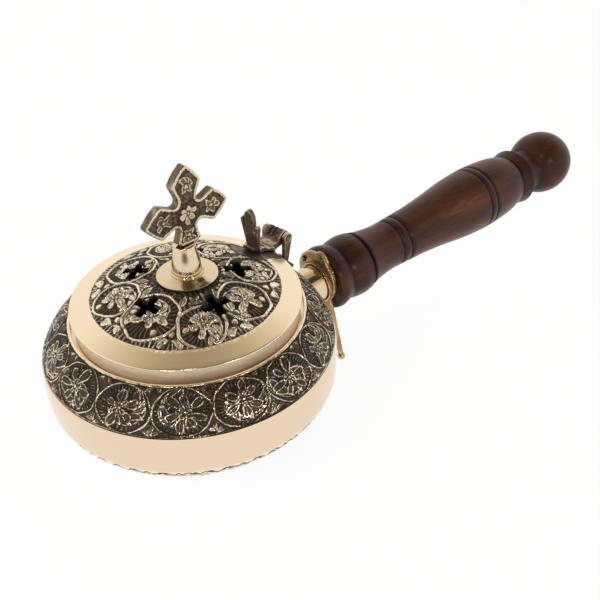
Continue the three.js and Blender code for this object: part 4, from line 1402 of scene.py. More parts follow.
@dataclass
class Lid:
    """The lid: engraved dome, plain bevelled flange, skirt, and the ring of cross openings."""

    skirt_radius: float = 41.3
    skirt_bore: float = 39.6
    skirt_level: float = 46.9
    lip_level: float = 53.3
    edge_level: float = 54.0
    edge_radius: float = 42.1
    dome_radius: float = 34.8
    dome_level: float = 56.2
    dome_rise: float = 6.9
    wall: float = 2.0
    opening_count: int = 5
    opening_ring: float = 19.7
    opening_turn: float = 54.4
    opening_span: float = 10.4
    opening_arm: float = 3.4
    segments: int = 760
    row_step: float = 0.31
    cut: float = 0.7
    hinge_turn: float = 12.0
    fringe: int = 132
    leaf_ring: float = 32.0
    bead_ring: float = 28.8
    inner_ring: float = 15.2
    engraved_from: float = 9.0
    edge_round: float = 0.12
    # Painted shade with patina on the flange under the hinge
    shade_stain_reach: float = 39.0
    shade_stain_side: float = -4.0
    shade_stain_half: float = 7.5
    shade_stain_strength: float = 0.66
    # Painted shade with patina on the dome under the thumb leaf
    shade_patina_reach: float = 32.5
    shade_patina_half: tuple[float, float] = (5.5, 8.5)
    shade_patina_height: float = 0.36
    leaf_aside: float = 0.085
    inner_spread: float = 0.42
    fringe_width: float = 3.6
    fringe_edge: float = 0.5
    # Direction in degrees, distance from the middle and size of each scroll
    scrolls: tuple[tuple[float, float, float], ...] = (
        (166.0, 25.2, 8.5), (-151.0, 22.9, 9.7), (-109.0, 26.6, 8.3), (-65.0, 24.3, 9.2),
        (-17.0, 25.0, 9.0), (26.0, 24.6, 9.0), (73.0, 24.5, 9.2), (122.0, 22.4, 9.3),
    )

    def top_at(self, radius: Points) -> Points:
        """Height of the uncut dome and flange at a distance from the middle."""
        dome = self.dome_level + self.dome_rise * (1 - (radius / self.dome_radius) ** 2)
        fall = (self.dome_level - self.edge_level) / (self.edge_radius - self.dome_radius)
        return np.where(radius < self.dome_radius, dome, self.dome_level - fall * (radius - self.dome_radius))

    def level_at(self, radius: float) -> float:
        """Height of the uncut dome or flange at one distance from the middle."""
        return float(self.top_at(np.array(radius)))

    def outline(self) -> Points:
        """Closed outline of (radius, height) points, from the middle of the underside round to the top."""
        under = np.array([[r, self.level_at(r) - self.wall] for r in (0.0, 10.0, 20.0, 28.0, 33.8)])
        edge = self.edge_round
        sides = np.array([
            [self.skirt_bore, self.level_at(self.skirt_bore) - self.wall],
            [self.skirt_bore, self.skirt_level + edge], [self.skirt_bore + edge, self.skirt_level],
            [self.skirt_radius - edge, self.skirt_level], [self.skirt_radius, self.skirt_level + edge],
            [self.skirt_radius, self.lip_level], [self.edge_radius - edge, self.lip_level],
            [self.edge_radius, self.lip_level + edge], [self.edge_radius, self.edge_level - 2 * edge],
            [self.edge_radius - edge, self.edge_level],
        ])
        flange = np.linspace(self.edge_radius - 0.4, self.dome_radius + 0.15, 6)
        dome = np.arange(self.dome_radius, 9.5, -self.row_step)
        radii = np.concatenate([flange, dome, [7.0, 3.5, 0.0]])
        return np.vstack([under, sides, np.column_stack([radii, self.top_at(radii)])])

    def shade_and_stain_at(self, points: Points) -> Points:
        """How strongly the flange is darkened near the hinge at points, from 0 to 1: painted shade under the knuckle
        and leaf, with patina.
        """
        turn = math.radians(self.hinge_turn)
        out = points[:, 0] * math.cos(turn) + points[:, 1] * math.sin(turn)
        side = points[:, 1] * math.cos(turn) - points[:, 0] * math.sin(turn)
        away = np.hypot((out - self.shade_stain_reach) / self.shade_stain_half, (side - self.shade_stain_side) / self.shade_stain_half)
        return ramp(away + 0.12 * uneven(out, side, 3.0, 19), 1.15, 0.8)

    def draw_between(self, sheet: Sheet, before: float, after: float) -> None:
        """Draws the leaves and the bead between two scrolls.

        Args:
            sheet: the dome's ornament.
            before: direction of the first scroll in degrees.
            after: direction of the next one in degrees.
        """
        local = sheet.seen_from((0.0, 0.0), math.radians(before) - math.pi / 2)
        half_way = math.radians((after - before) % 360) / 2
        for sign in (-1, 1):
            spot = half_way + sign * self.leaf_aside
            lean = math.pi / 2 + spot + sign * 0.9
            local.petal(ring_spot(self.leaf_ring, spot), (2.3, 1.3), lean, 0.25, 0.2, 0.3 * sign)
        local.bead(ring_spot(self.bead_ring, half_way), 1.2)
        for share in (-0.9, -0.3, 0.3, 0.9):
            spot = half_way + self.inner_spread * share
            lean = math.pi / 2 + spot - share
            local.petal(ring_spot(self.inner_ring, spot), (2.6, 1.0), lean, 0.5, 0.4, 0.4 * share, 0.8)

    def height_at(self, x: Points, y: Points) -> Points:
        """Height of the casting on the dome: a ring of scrolls with flowers, beads and leaves between them.

        Args:
            x: first coordinates of the places.
            y: second coordinates.

        Returns:
            The heights.
        """
        def wave(size: float, seed: int) -> Points:
            """An uneven value on the dome."""
            return uneven(x, y, size, seed)

        sheet = Sheet(
            x + 0.34 * wave(11.0, 11) + 0.07 * wave(2.4, 12), y + 0.34 * wave(11.0, 13) + 0.07 * wave(2.4, 14),
            0.22 + 0.26 * wave(2.0, 15),
        )
        radius = np.hypot(x, y)
        angle = np.arctan2(sheet.y, sheet.x)
        rim = self.dome_radius
        fringe = np.maximum(rim - self.fringe_width - radius, radius - rim + self.fringe_edge)
        sheet.strokes(angle * self.fringe / (2 * math.pi), 2 * math.pi * radius / self.fringe, fringe, 0.7, 0.7)
        for scroll, after in zip(self.scrolls, self.scrolls[1:] + self.scrolls[:1]):
            self.draw_between(sheet, scroll[0], after[0])
        for k, (turn, reach, size) in enumerate(self.scrolls):
            way = math.radians(turn)
            at = (reach * math.cos(way), reach * math.sin(way))
            Medallion(size, size, seed=101 + 7 * k, ring=1.05, arm=0.85, strokes=30, slant=1.0, stroke_height=0.5,
                      petals=(6, 5)[k % 2], leaves=5, berries=2, hollow=0.4,
                      ).draw(sheet.seen_from(at, way - math.pi / 2, mirrored=k % 2 == 1))
        # Painted shade under the thumb leaf, with patina: a low, dark patch on the dome by the hinge
        hinge = sheet.seen_from((0.0, 0.0), math.radians(self.hinge_turn))
        long, wide = self.shade_patina_half
        shade_patina = (np.hypot((hinge.x - self.shade_patina_reach) / long, hinge.y / wide) - 1) * 6.5
        sheet.lay(shade_patina, self.shade_patina_height + 0.1 * wave(3.0, 18), 1.2)
        sheet.line(np.abs(rim - radius), 0.7, 1.0, 0.1)
        return np.clip(sheet.height * (0.92 + 0.13 * wave(2.6, 16) + 0.11 * wave(1.2, 17)), 0, 1)

    def opening(self) -> bpy.types.Object:
        """The solid of one cross-shaped opening, standing at the origin with one arm along X."""
        long, short = self.opening_span / 2, self.opening_arm / 2
        quarter = np.array([[long, -short], [long, short], [short, short]])
        flat = np.vstack([quarter @ np.array(turn) for turn in (
            [[1, 0], [0, 1]], [[0, 1], [-1, 0]], [[-1, 0], [0, -1]], [[0, -1], [1, 0]],
        )])
        levels = (self.skirt_level + 1, self.dome_level + self.dome_rise + 2)
        return new_object("opening", prism("opening", *(np.insert(flat, 2, level, axis=1) for level in levels)))

    def build(self, turning: Tree, piercing: Tree) -> None:
        """Turns the lid, pierces it, engraves the dome and hands it over.

        Args:
            turning: the tree that turns outlines.
            piercing: the tree that cuts the openings.
        """
        tool = self.opening()
        solid = turned_mesh("lid", self.outline(), turning, self.segments, ENGRAVED, 180)
        made = piercing.run("lid", solid, {
            "Opening": tool, "Count": self.opening_count, "Ring radius": self.opening_ring,
            "Turn": math.radians(self.opening_turn), "Material": material_of(ENGRAVED),
        })
        bpy.data.objects.remove(tool)
        points = corners(made)
        radius = np.hypot(points[:, 0], points[:, 1])
        on_dome = (radius < self.dome_radius + 0.02) & (radius > self.engraved_from)
        top = (np.abs(points[:, 2] - self.top_at(radius)) < 0.06) & on_dome
        walls = (points[:, 2] < self.top_at(radius) - 0.5) & (radius < self.dome_radius)
        flange = (radius > self.dome_radius) & (points[:, 2] > self.lip_level - 0.01)
        relief = np.ones(len(points))
        relief[top] = self.height_at(points[top, 0], points[top, 1])
        relief[walls] = 0.1
        # The flange is darkened near the hinge: painted shade with patina
        relief[flange] = 1 - self.shade_stain_strength * self.shade_and_stain_at(points[flange])
        slope = 2 * self.dome_rise * radius / self.dome_radius ** 2
        sunk = self.cut * (1 - relief) * top / np.hypot(1, slope)
        points[:, 2] -= sunk
        points[:, :2] *= (1 - sunk * slope / np.maximum(radius, 1))[:, None]
        place(made, points)
        store(made, "relief", relief)
        dress(made, (ENGRAVED, FLANGE, SATIN, SOOT), self.finish_of_faces(made))
        mark_edges(made)
        hand_over("pierced_lid", made, Body.LID, ENGRAVED, ("lid",))

    def finish_of_faces(self, mesh: bpy.types.Mesh) -> Points:
        """For each face 0 where it is engraved or darkened by the hinge (painted shade with patina), 1 plain, 2 satin
        on the skirt, 3 sooty below.
        """
        middle = vectors(mesh.polygons, "center")
        radius = np.hypot(middle[:, 0], middle[:, 1])
        below = middle[:, 2] < self.top_at(radius) - 1
        skirt = (middle[:, 2] < self.lip_level - 0.01) & (radius > self.skirt_radius - 0.3)
        hidden = below & (radius < self.skirt_bore + 0.02)
        plain = (radius > self.dome_radius) & (self.shade_and_stain_at(middle) < 0.02) | below
        return np.where(hidden, 3, np.where(skirt, 2, plain))


@dataclass
class Finial:
    """The stem with its base disc, and the cross that stands on it."""

    lid: Lid
    offset_x: float = 0.7
    offset_y: float = -0.5
    base_level: float = 63.1
    disc_radius: float = 11.1
    disc_edge: float = 0.4
    collar_radius: float = 6.0
    collar_height: float = 1.1
    stem_base_radius: float = 5.5
    stem_top_radius: float = 3.9
    stem_swell: float = 0.45
    stem_height: float = 12.1
    yaw: float = 8.9
    lean: float = 2.25
    shift: float = 1.5
    thickness: float = 3.5
    centre_height: float = 11.7
    corner: float = 11.3
    half_width: float = 6.1
    tip: float = 17.8
    waist: float = 3.3
    notch: float = 5.2
    foot_half_width: float = 5.0
    sunk: float = 0.55
    rim: float = 1.1
    notch_cut: float = 2.2
    corner_cut: float = 0.8
    bow_cut: float = 1.8
    tip_cut: float = 1.1
    voxel: float = 0.2
    smoothing: int = 3
    side_dents: float = 0.12

    def stem_frame(self) -> Matrix:
        """From the stem's own frame to the object's."""
        return Matrix.Translation((self.offset_x, self.offset_y, self.base_level))

    def cross_frame(self) -> Matrix:
        """From the cross's own frame to the object's."""
        turn = Matrix.Rotation(math.radians(self.yaw), 4, "Z") @ Matrix.Rotation(math.radians(self.lean), 4, "Y")
        return self.stem_frame() @ Matrix.Translation((0, 0, self.stem_height)) @ turn

    def build_stem(self, tree: Tree) -> None:
        """Builds the stem with the disc and hands it over."""
        wide, collar_wide = self.disc_radius, self.collar_radius
        foot, neck, tall = self.stem_base_radius, self.stem_top_radius, self.stem_height
        drop = self.lid.level_at(wide) - self.base_level
        top = drop + 0.3 + self.disc_edge
        start = top + self.collar_height + collar_wide / 10
        under = [[r, self.lid.level_at(r) - self.base_level + 0.3] for r in (2.0, 5.0, 8.0, 11.0)]
        disc = [[wide, drop + 0.36], [wide, top - 0.1], [wide - 0.12, top]]
        cone = smooth_line([(wide - 0.3, top + 0.04), (8.4, top + 0.45), (collar_wide + 0.25, start - 0.75)], 6)
        collar = arc(collar_wide - 0.28, start - 0.42, 0.42, -math.pi / 3, math.pi * 0.72, 8)
        stem = bezier(
            [foot, start], [foot - self.stem_swell * 0.35, start + 3.2],
            [neck + self.stem_swell * 1.1, tall - 3.5], [neck, tall - 0.15], 24,
        )
        outline = np.vstack([[[0, under[0][1]]], under, disc, cone, collar, stem, [[neck - 0.15, tall], [0, tall]]])
        mesh = turned_mesh("stem", outline, tree, 128, POLISHED, 38)
        hand_over("polished_stem", mesh, Body.LID, POLISHED, ("finial_stem",), self.stem_frame())

    def cross_outline(self) -> Points:
        """Outline of the cross about its own middle, with bowed gables and round notches."""
        bow_x, bow_y = self.half_width * 0.54, self.corner + (self.tip - self.corner) * 0.58
        arm = np.array([
            [self.waist, self.notch], [self.half_width, self.corner], [bow_x, bow_y], [0, self.tip],
            [-bow_x, bow_y], [-self.half_width, self.corner], [-self.waist, self.notch],
        ])
        rising = [self.notch_cut, self.corner_cut, self.bow_cut]
        low = 0.3 - self.centre_height
        outline = []
        for quarter in (-1, 0, 1):
            c, s = math.cos(quarter * math.pi / 2), math.sin(quarter * math.pi / 2)
            outline.extend((arm @ np.array([[c, s], [-s, c]])).tolist())
        flare = low + (self.notch - self.waist) / 2
        outline += [
            [-self.waist, -self.notch], [-self.foot_half_width, flare], [-self.waist, low],
            [self.waist, low], [self.foot_half_width, flare], [self.waist, -self.notch],
        ]
        foot_cuts = [self.notch_cut, self.corner_cut, 0.2, 0.2, self.corner_cut, self.notch_cut]
        return softened(np.array(outline), [*rising, self.tip_cut, *rising[::-1]] * 3 + foot_cuts)

    def cross_solid(self) -> bpy.types.Mesh:
        """The plain solid of the cross in its own frame, standing on the stem."""
        flat = self.cross_outline() + np.array([self.shift, self.centre_height])
        return prism("cross solid", *(np.insert(flat, 1, side * self.thickness / 2, axis=1) for side in (-1, 1)))

    def cross_height_at(self, x: Points, y: Points) -> Points:
        """Height of the cast relief on a face of the cross, about its own middle."""
        outline = self.cross_outline()
        edge = np.full(x.shape, 1e3)
        for a, b in zip(outline, np.roll(outline, -1, axis=0)):
            d = b - a
            t = np.clip(((x - a[0]) * d[0] + (y - a[1]) * d[1]) / max(float(d @ d), 1e-9), 0, 1)
            edge = np.minimum(edge, np.hypot(x - a[0] - t * d[0], y - a[1] - t * d[1]))
        rough_x = x + 0.22 * uneven(x, y, 3.2, 61)
        rough_y = y + 0.22 * uneven(x, y, 3.2, 62)
        sheet = Sheet(rough_x, rough_y, 0.18 + 0.22 * uneven(x, y, 2.0, 63))
        sheet.flower((0.0, 0.0), 6, 2.0, (1.7, 1.05), 0.4, hollow=0.1, boss=0.7, seed=71)
        for quarter in range(4):
            arm = sheet.seen_from((0.0, 0.0), quarter * math.pi / 2)
            reach = 8.4 if quarter == 2 else 10.4
            arm.flower((0.0, reach), 3, 1.6, (1.7, 1.1), 0.35, 2.8, hollow=0.5, seed=72 + quarter)
            for side in (-1, 1):
                arm.petal((side * 1.2, reach - 1.4), (1.6, 0.9), math.pi / 2 + side * 0.5, 0.45, 0.0, 0.5 * side)
            arm.bead((0.0, reach - 0.3), 0.9)
        sheet.lay(edge - self.rim - 0.16 * uneven(x, y, 1.6, 64), 0.9 + 0.1 * uneven(x, y, 1.4, 65), 0.3)
        return np.clip(sheet.height, 0, 1)

    def build_cross(self) -> None:
        """Builds the cross with its relief on both faces and hands it over."""
        mesh = recast("cross", self.cross_solid(), self.voxel, self.smoothing)
        points = corners(mesh)
        x, y = points[:, 0] - self.shift, points[:, 2] - self.centre_height
        height = self.cross_height_at(x, y)
        half = self.thickness / 2
        face = np.clip((np.abs(points[:, 1]) - half + 0.35) / 0.25, 0, 1) * (y > -self.centre_height + 0.4)
        points[:, 1] -= np.sign(points[:, 1]) * (self.sunk * (1 - height) * face)
        dents = np.clip(0.5 + 0.5 * uneven(x + y, points[:, 1] + y, 2.2, 66), 0, 1)
        points -= corner_normals(mesh) * (self.side_dents * (1 - face) * dents)[:, None]
        place(mesh, points)
        wear = bulge(mesh, 0.12)
        side = 0.52 + 0.1 * uneven(x + points[:, 1], y - points[:, 1], 5.0, 67)
        relief = np.where(face > 0.5, 0.22 + 0.66 * height, side) + 0.6 * (wear - 0.5)
        store(mesh, "relief", np.clip(relief, 0, 1))
        hand_over("standing_cross", mesh, Body.LID, BRONZE, ("cross",), self.cross_frame())


@dataclass
class Hinge:
    """Ears, knuckle arm with its thumb leaf, and the rivets that hold both."""

    turn: float = 12.0
    voxel: float = 0.22
    gap: float = 0.3
    ear_foot_thickness: float = 1.4
    ear_rivet_share: float = 0.687
    ear_rivet_angle: float = 50.0
    ear_rivet_across: float = 2.3
    plate_thickness: float = 1.5
    lid_rivet_reach: float = 37.3
    lid_rivet_spacing: float = 4.6
    rivet_radius: float = 1.1
    rivet_head: float = 1.9
    rivet_rise: float = 0.9
    pin_reach: float = 49.5
    pin_level: float = 57.0
    knuckle_radius: float = 3.0
    knuckle_half_width: float = 4.2
    band_cut: float = 0.4
    band_places: tuple[float, float] = (-0.1, 0.42)
    grime: float = 0.5
    grime_half_width: float = 3.7
    smoothing: int = 4

    def from_pin(self, points: Points) -> Points:
        """Distance of each point from the pin's axis."""
        return np.hypot(points[:, 0] - self.pin_reach, points[:, 2] - self.pin_level)

    def knuckle_cuts(self, points: Points) -> Points:
        """How deep each point lies in the two turned cuts of the knuckle, from 0 to 1."""
        away = self.from_pin(points)
        on_knuckle = ramp(away, self.knuckle_radius + 0.6, self.knuckle_radius) * ramp(away, 1.2, 1.6)
        on_knuckle *= np.abs(points[:, 1]) < self.knuckle_half_width
        share = points[:, 1] / self.knuckle_half_width
        return on_knuckle * np.clip(sum(np.exp(-((share - at) / 0.1) ** 2) for at in self.band_places), 0, 1)

    def hinge_frame(self) -> Matrix:
        """From the hinge's own frame to the object's."""
        return Matrix.Rotation(math.radians(self.turn), 4, "Z")

    def build_cast(self, node: str, name: str, body: Body, finish: MetalFinish) -> None:
        """Rounds a cast piece of the hinge and hands it over.

        Args:
            node: the CAD node.
            name: the piece's name.
            body: the body it rides on.
            finish: its finish.
        """
        to_world = self.hinge_frame()
        mesh = recast_node(name, node, to_world.inverted(), self.voxel, self.smoothing)
        points = corners(mesh)
        cuts = self.knuckle_cuts(points)
        points -= self.band_cut * corner_normals(mesh) * cuts[:, None]
        place(mesh, points)
        wear = bulge(mesh, 0.10)
        x, y, z = points.T
        # Faces that look up get a lighter value: painted light from above
        base = 0.42 + 0.22 * np.clip(corner_normals(mesh)[:, 2], 0, 1) + stipple(x, y + z, 0.1)
        patches = 0.09 * uneven(y + x, z - x, 4.5, 8)
        rim = self.knuckle_radius
        grimy = self.grime * np.exp(-(y / self.grime_half_width) ** 6)
        grimy *= ramp(self.from_pin(points), rim + 2.2, rim + 0.6)
        grimy *= 0.8 + 0.35 * uneven(y, z + x, 2.6, 9)
        store(mesh, "relief", np.clip(base + patches + 1.1 * (wear - 0.5) - grimy - 0.3 * cuts, 0, 1))
        hand_over(name, mesh, body, finish, (node,), to_world)

    def build(self) -> None:
        """Builds the ears and the lid's part of the hinge."""
        self.build_cast("hinge_bracket", "hinge_ears", Body.CENSER, EARS)
        self.build_cast("lid_hinge", "thumb_leaf_hinge", Body.LID, BRONZE)


class Outline:
    """Collects the (radius, along) points of a turned piece."""

    def __init__(self, radius: float, along: float) -> None:
        """Starts at a point."""
        self.points: list[tuple[float, float]] = [(radius, along)]
        self.grooves: list[tuple[float, float]] = []

    def line(self, *knots: tuple[float, float]) -> None:
        """Goes straight to each knot."""
        self.points.extend(knots)

    def curve(self, *knots: tuple[float, float]) -> None:
        """Goes smoothly through the knots."""
        self.points.extend(tuple(p) for p in smooth_line([self.points[-1], *knots], 5)[1:])

    def groove(self, radius: float, along: float, depth: float) -> None:
        """Goes through a groove with a round bottom."""
        for t in np.linspace(-1, 1, 9):
            share = 0.5 + 0.5 * math.cos(math.pi * t)
            self.points.append((radius - depth * share ** 0.7, along + depth * 1.1 * t))
        self.grooves.append((along, depth))


@dataclass
class Handle:
    """The handle line: socket tube, cast plate with its leg, and the turned wood."""

    level: float = 27.85
    climb: float = 4.78
    tube_radius: float = 8.2
    tube_wall: float = 2.0
    plate_reach: float = 62.4
    plate_thickness: float = 1.8
    plate_voxel: float = 0.24
    crown_reach: float = 10.9
    crown_angle: float = 98.0
    gap: float = 0.3
    segments: int = 128
    front: float = 13.7
    front_bead: float = 14.2
    front_bead_length: float = 7.5
    valley: float = 12.9
    second_bead: float = 14.0
    second_bead_length: float = 12.1
    deep_groove: float = 0.9
    taper_start: float = 12.9
    taper_length: float = 19.4
    waist: float = 10.85
    fine_groove: float = 0.5
    groove_spacing: float = 4.7
    grip_start: float = 11.1
    grip_length: float = 48.6
    crest: float = 15.5
    crest_length: float = 4.2
    fall_length: float = 23.0
    fall_end: float = 12.9
    collar: float = 13.1
    collar_length: float = 6.0
    lip: float = 13.6
    neck: float = 9.6
    neck_length: float = 9.8
    ball: float = 15.55
    end_shade: float = 0.5
    groove_shade: float = 0.97
    groove_reach: float = 1.15
    bead_shade: float = 0.35
    ball_overlap: float = 0.02
    bowl_clearance: float = 0.05
    plate_smoothing: int = 3

    def handle_frame(self) -> Matrix:
        """From the handle's own frame, X across, Y up and Z along, to the object's."""
        angle = math.radians(self.climb)
        s, c = math.sin(angle), math.cos(angle)
        return Matrix(((0, -s, c, 0), (1, 0, 0, 0), (0, c, s, self.level), (0, 0, 0, 1)))

    def wood_outline(self) -> Outline:
        """Outline of the wood, given from its front end."""
        groove = self.front_bead_length + self.second_bead_length
        ring_one = groove + self.taper_length
        ring_two = ring_one + self.groove_spacing
        crest = ring_two + self.grip_length
        crest_end = crest + self.crest_length
        collar_start = crest_end + self.fall_length
        collar_end = collar_start + self.collar_length
        neck_end = collar_end + self.neck_length
        ball_start = math.asin((self.neck + 0.5) / self.ball)
        ball_centre = neck_end + self.ball * math.cos(ball_start) - self.ball_overlap

        def knots(start: tuple[float, float], end: tuple[float, float], *shares: tuple[float, float]) -> list:
            """Knots at shares of the radius and of the way from start to end."""
            return [(start[0] + (end[0] - start[0]) * s, start[1] + (end[1] - start[1]) * t) for s, t in shares]

        fine = self.fine_groove
        line = Outline(0.0, 0.0)
        line.line((self.front - 0.4, 0.0), (self.front, 0.3))
        line.curve(
            (self.front_bead, self.front_bead_length / 3),
            *knots((self.front_bead, 0.0), (self.valley, self.front_bead_length), (0.5, 0.75), (1, 1)),
            *knots((self.valley, self.front_bead_length), (self.second_bead, groove), (0.6, 0.25), (1, 0.6)),
            (self.second_bead - self.deep_groove / 2, groove - self.deep_groove),
        )
        line.groove(self.taper_start, groove, self.deep_groove)
        line.curve(
            *knots((self.taper_start, groove), (self.waist, ring_one), (0.55, 0.3), (1, 0.7)),
            (self.waist, ring_one - 2 * fine),
        )
        line.groove(self.waist + fine / 10, ring_one, fine)
        line.groove(self.grip_start, ring_two, fine)
        line.curve(
            *knots((self.grip_start, ring_two), (self.crest, crest), (0.14, 0.25), (0.43, 0.5), (0.8, 0.75)),
            (self.crest, crest - 2 * fine),
        )
        line.groove(self.crest, crest, fine)
        line.groove(self.crest, crest_end, fine)
        line.curve(
            *knots((self.crest, crest_end), (self.fall_end, collar_start), (0.12, 0.33), (0.42, 0.66)),
            (self.fall_end, collar_start - 2 * fine),
        )
        line.line((self.fall_end - fine, collar_start - fine))
        line.grooves.append((collar_start - fine, fine))
        line.curve((self.collar - fine, collar_start), (self.collar - fine / 3, collar_start + 2 * fine))
        line.line((self.lip, collar_end - 2 * fine))
        line.curve((self.lip + fine / 3, collar_end - fine / 2), (self.lip - fine, collar_end))
        line.curve(
            *knots((self.collar, collar_end), (self.neck, neck_end), (0.75, 0.14), (1, 0.7)),
            (self.ball * math.sin(ball_start), neck_end),
        )
        ball = arc(0, ball_centre, self.ball, ball_start - math.pi / 2, math.pi / 2, 40)
        line.line(*(tuple(p) for p in ball[1:-1]))
        line.line((0.0, ball_centre + self.ball))
        return line

    def build_wood(self, tree: Tree) -> None:
        """Turns the wood, paints shade into its grooves, the valley between the front beads and both ends, and hands
        it over.
        """
        outline = self.wood_outline()
        mesh = turned_mesh("wood", np.array(outline.points), tree, self.segments, WOOD, 75)
        along = corners(mesh)[:, 2]
        light = np.ones(len(along))
        # Painted shade: darker in each groove and in the valley between the front beads, and towards both ends
        for middle, depth in outline.grooves:
            light -= self.groove_shade * np.exp(-((along - middle) / (self.groove_reach * depth)) ** 4)
        light -= self.bead_shade * np.exp(-((along - self.front_bead_length) / 1.2) ** 2)
        light -= self.end_shade * ramp(along, self.front_bead_length + self.second_bead_length + 6, 10.0)
        light -= self.end_shade * ramp(along, outline.grooves[-1][0] - 10, outline.grooves[-1][0] + 8)
        store(mesh, "relief", np.clip(light, 0, 1))
        start = self.plate_reach + self.plate_thickness + self.gap
        to_world = self.handle_frame() @ Matrix.Translation((0, 0, start))
        hand_over("turned_wood", mesh, Body.CENSER, WOOD, ("wooden_handle",), to_world)

    def meeting(self, bowl: Bowl, across: Points, above: Points) -> Points:
        """Distance along the handle line at which points beside it meet the outside of the bowl.

        Args:
            bowl: the bowl.
            across: how far the points lie to the side of the line.
            above: how far they lie above it.

        Returns:
            One distance for each point.
        """
        outline = np.vstack([bowl.side(), bowl.shoulder()])
        angle = math.radians(self.climb)
        along = np.full_like(across, bowl.belly_radius)
        for _ in range(12):
            height = self.level + along * math.sin(angle) + above * math.cos(angle)
            radius = np.interp(height, outline[:, 1], outline[:, 0])
            along = (np.sqrt(radius ** 2 - across ** 2) + above * math.sin(angle)) / math.cos(angle)
        return along

    def build_tube(self, bowl: Bowl) -> None:
        """Builds the tube with its end fitted to the bowl and hands it over."""
        turn = np.linspace(0, 2 * math.pi, self.segments, endpoint=False)
        end = self.plate_reach - self.gap
        outer, bore = self.tube_radius, self.tube_radius - self.tube_wall
        rings = []
        for radius, share in ((outer, 0.0), (outer, 0.5), (outer, 1.0), (bore, 1.0), (bore, 0.0)):
            x, y = radius * np.cos(turn), radius * np.sin(turn)
            start = self.meeting(bowl, x, y) + self.bowl_clearance
            rings.append(np.column_stack([x, y, start + share * (end - start)]))
        mesh = new_mesh("tube", np.vstack(rings), ring_faces(len(rings), self.segments))
        face_outwards(mesh)
        mark_edges(mesh)
        hand_over("handle_tube", mesh, Body.CENSER, POLISHED, ("socket_tube",), self.handle_frame())

    def build_plate(self) -> None:
        """Roughens the cast plate on its crown and hands it over."""
        to_world = self.handle_frame()
        mesh = recast_node("plate", "handle_plate", to_world.inverted(), self.plate_voxel, self.plate_smoothing)
        points = corners(mesh)
        turn = math.radians(self.crown_angle)
        from_line = np.hypot(points[:, 0], points[:, 1])
        crust = ramp(from_line, 10.6, 12.2) * ramp(points[:, 1], 3.0, 7.0) * ramp(points[:, 0], 2.0, -3.5)
        lumps = lumpiness(points, 1.3, 3) * 0.45 + lumpiness(points, 0.6, 7) * 0.3
        rough = crust * (lumps - 0.25) - 0.1 * (1 - crust) * lumpiness(points, 3.0, 5)
        points += corner_normals(mesh) * rough[:, None]
        place(mesh, points)
        middle = self.crown_reach * np.array([math.cos(turn), math.sin(turn)])
        away = np.hypot(points[:, 0] - middle[0], points[:, 1] - middle[1])
        level = 0.62 + 0.9 * (bulge(mesh, 0.12) - 0.5) - 0.12 * np.exp(-(away / 5) ** 2)
        level += 0.14 * (lumpiness(points, 4.0, 9) - 0.5) - 0.2 * crust * lumpiness(points, 1.6, 11)
        store(mesh, "relief", np.clip(level, 0, 1))
        hand_over("cast_plate", mesh, Body.CENSER, CAST, ("handle_plate",), to_world)

    def build(self, bowl: Bowl, turning: Tree) -> None:
        """Builds all pieces of the handle line."""
        self.build_tube(bowl)
        self.build_plate()
        self.build_wood(turning)


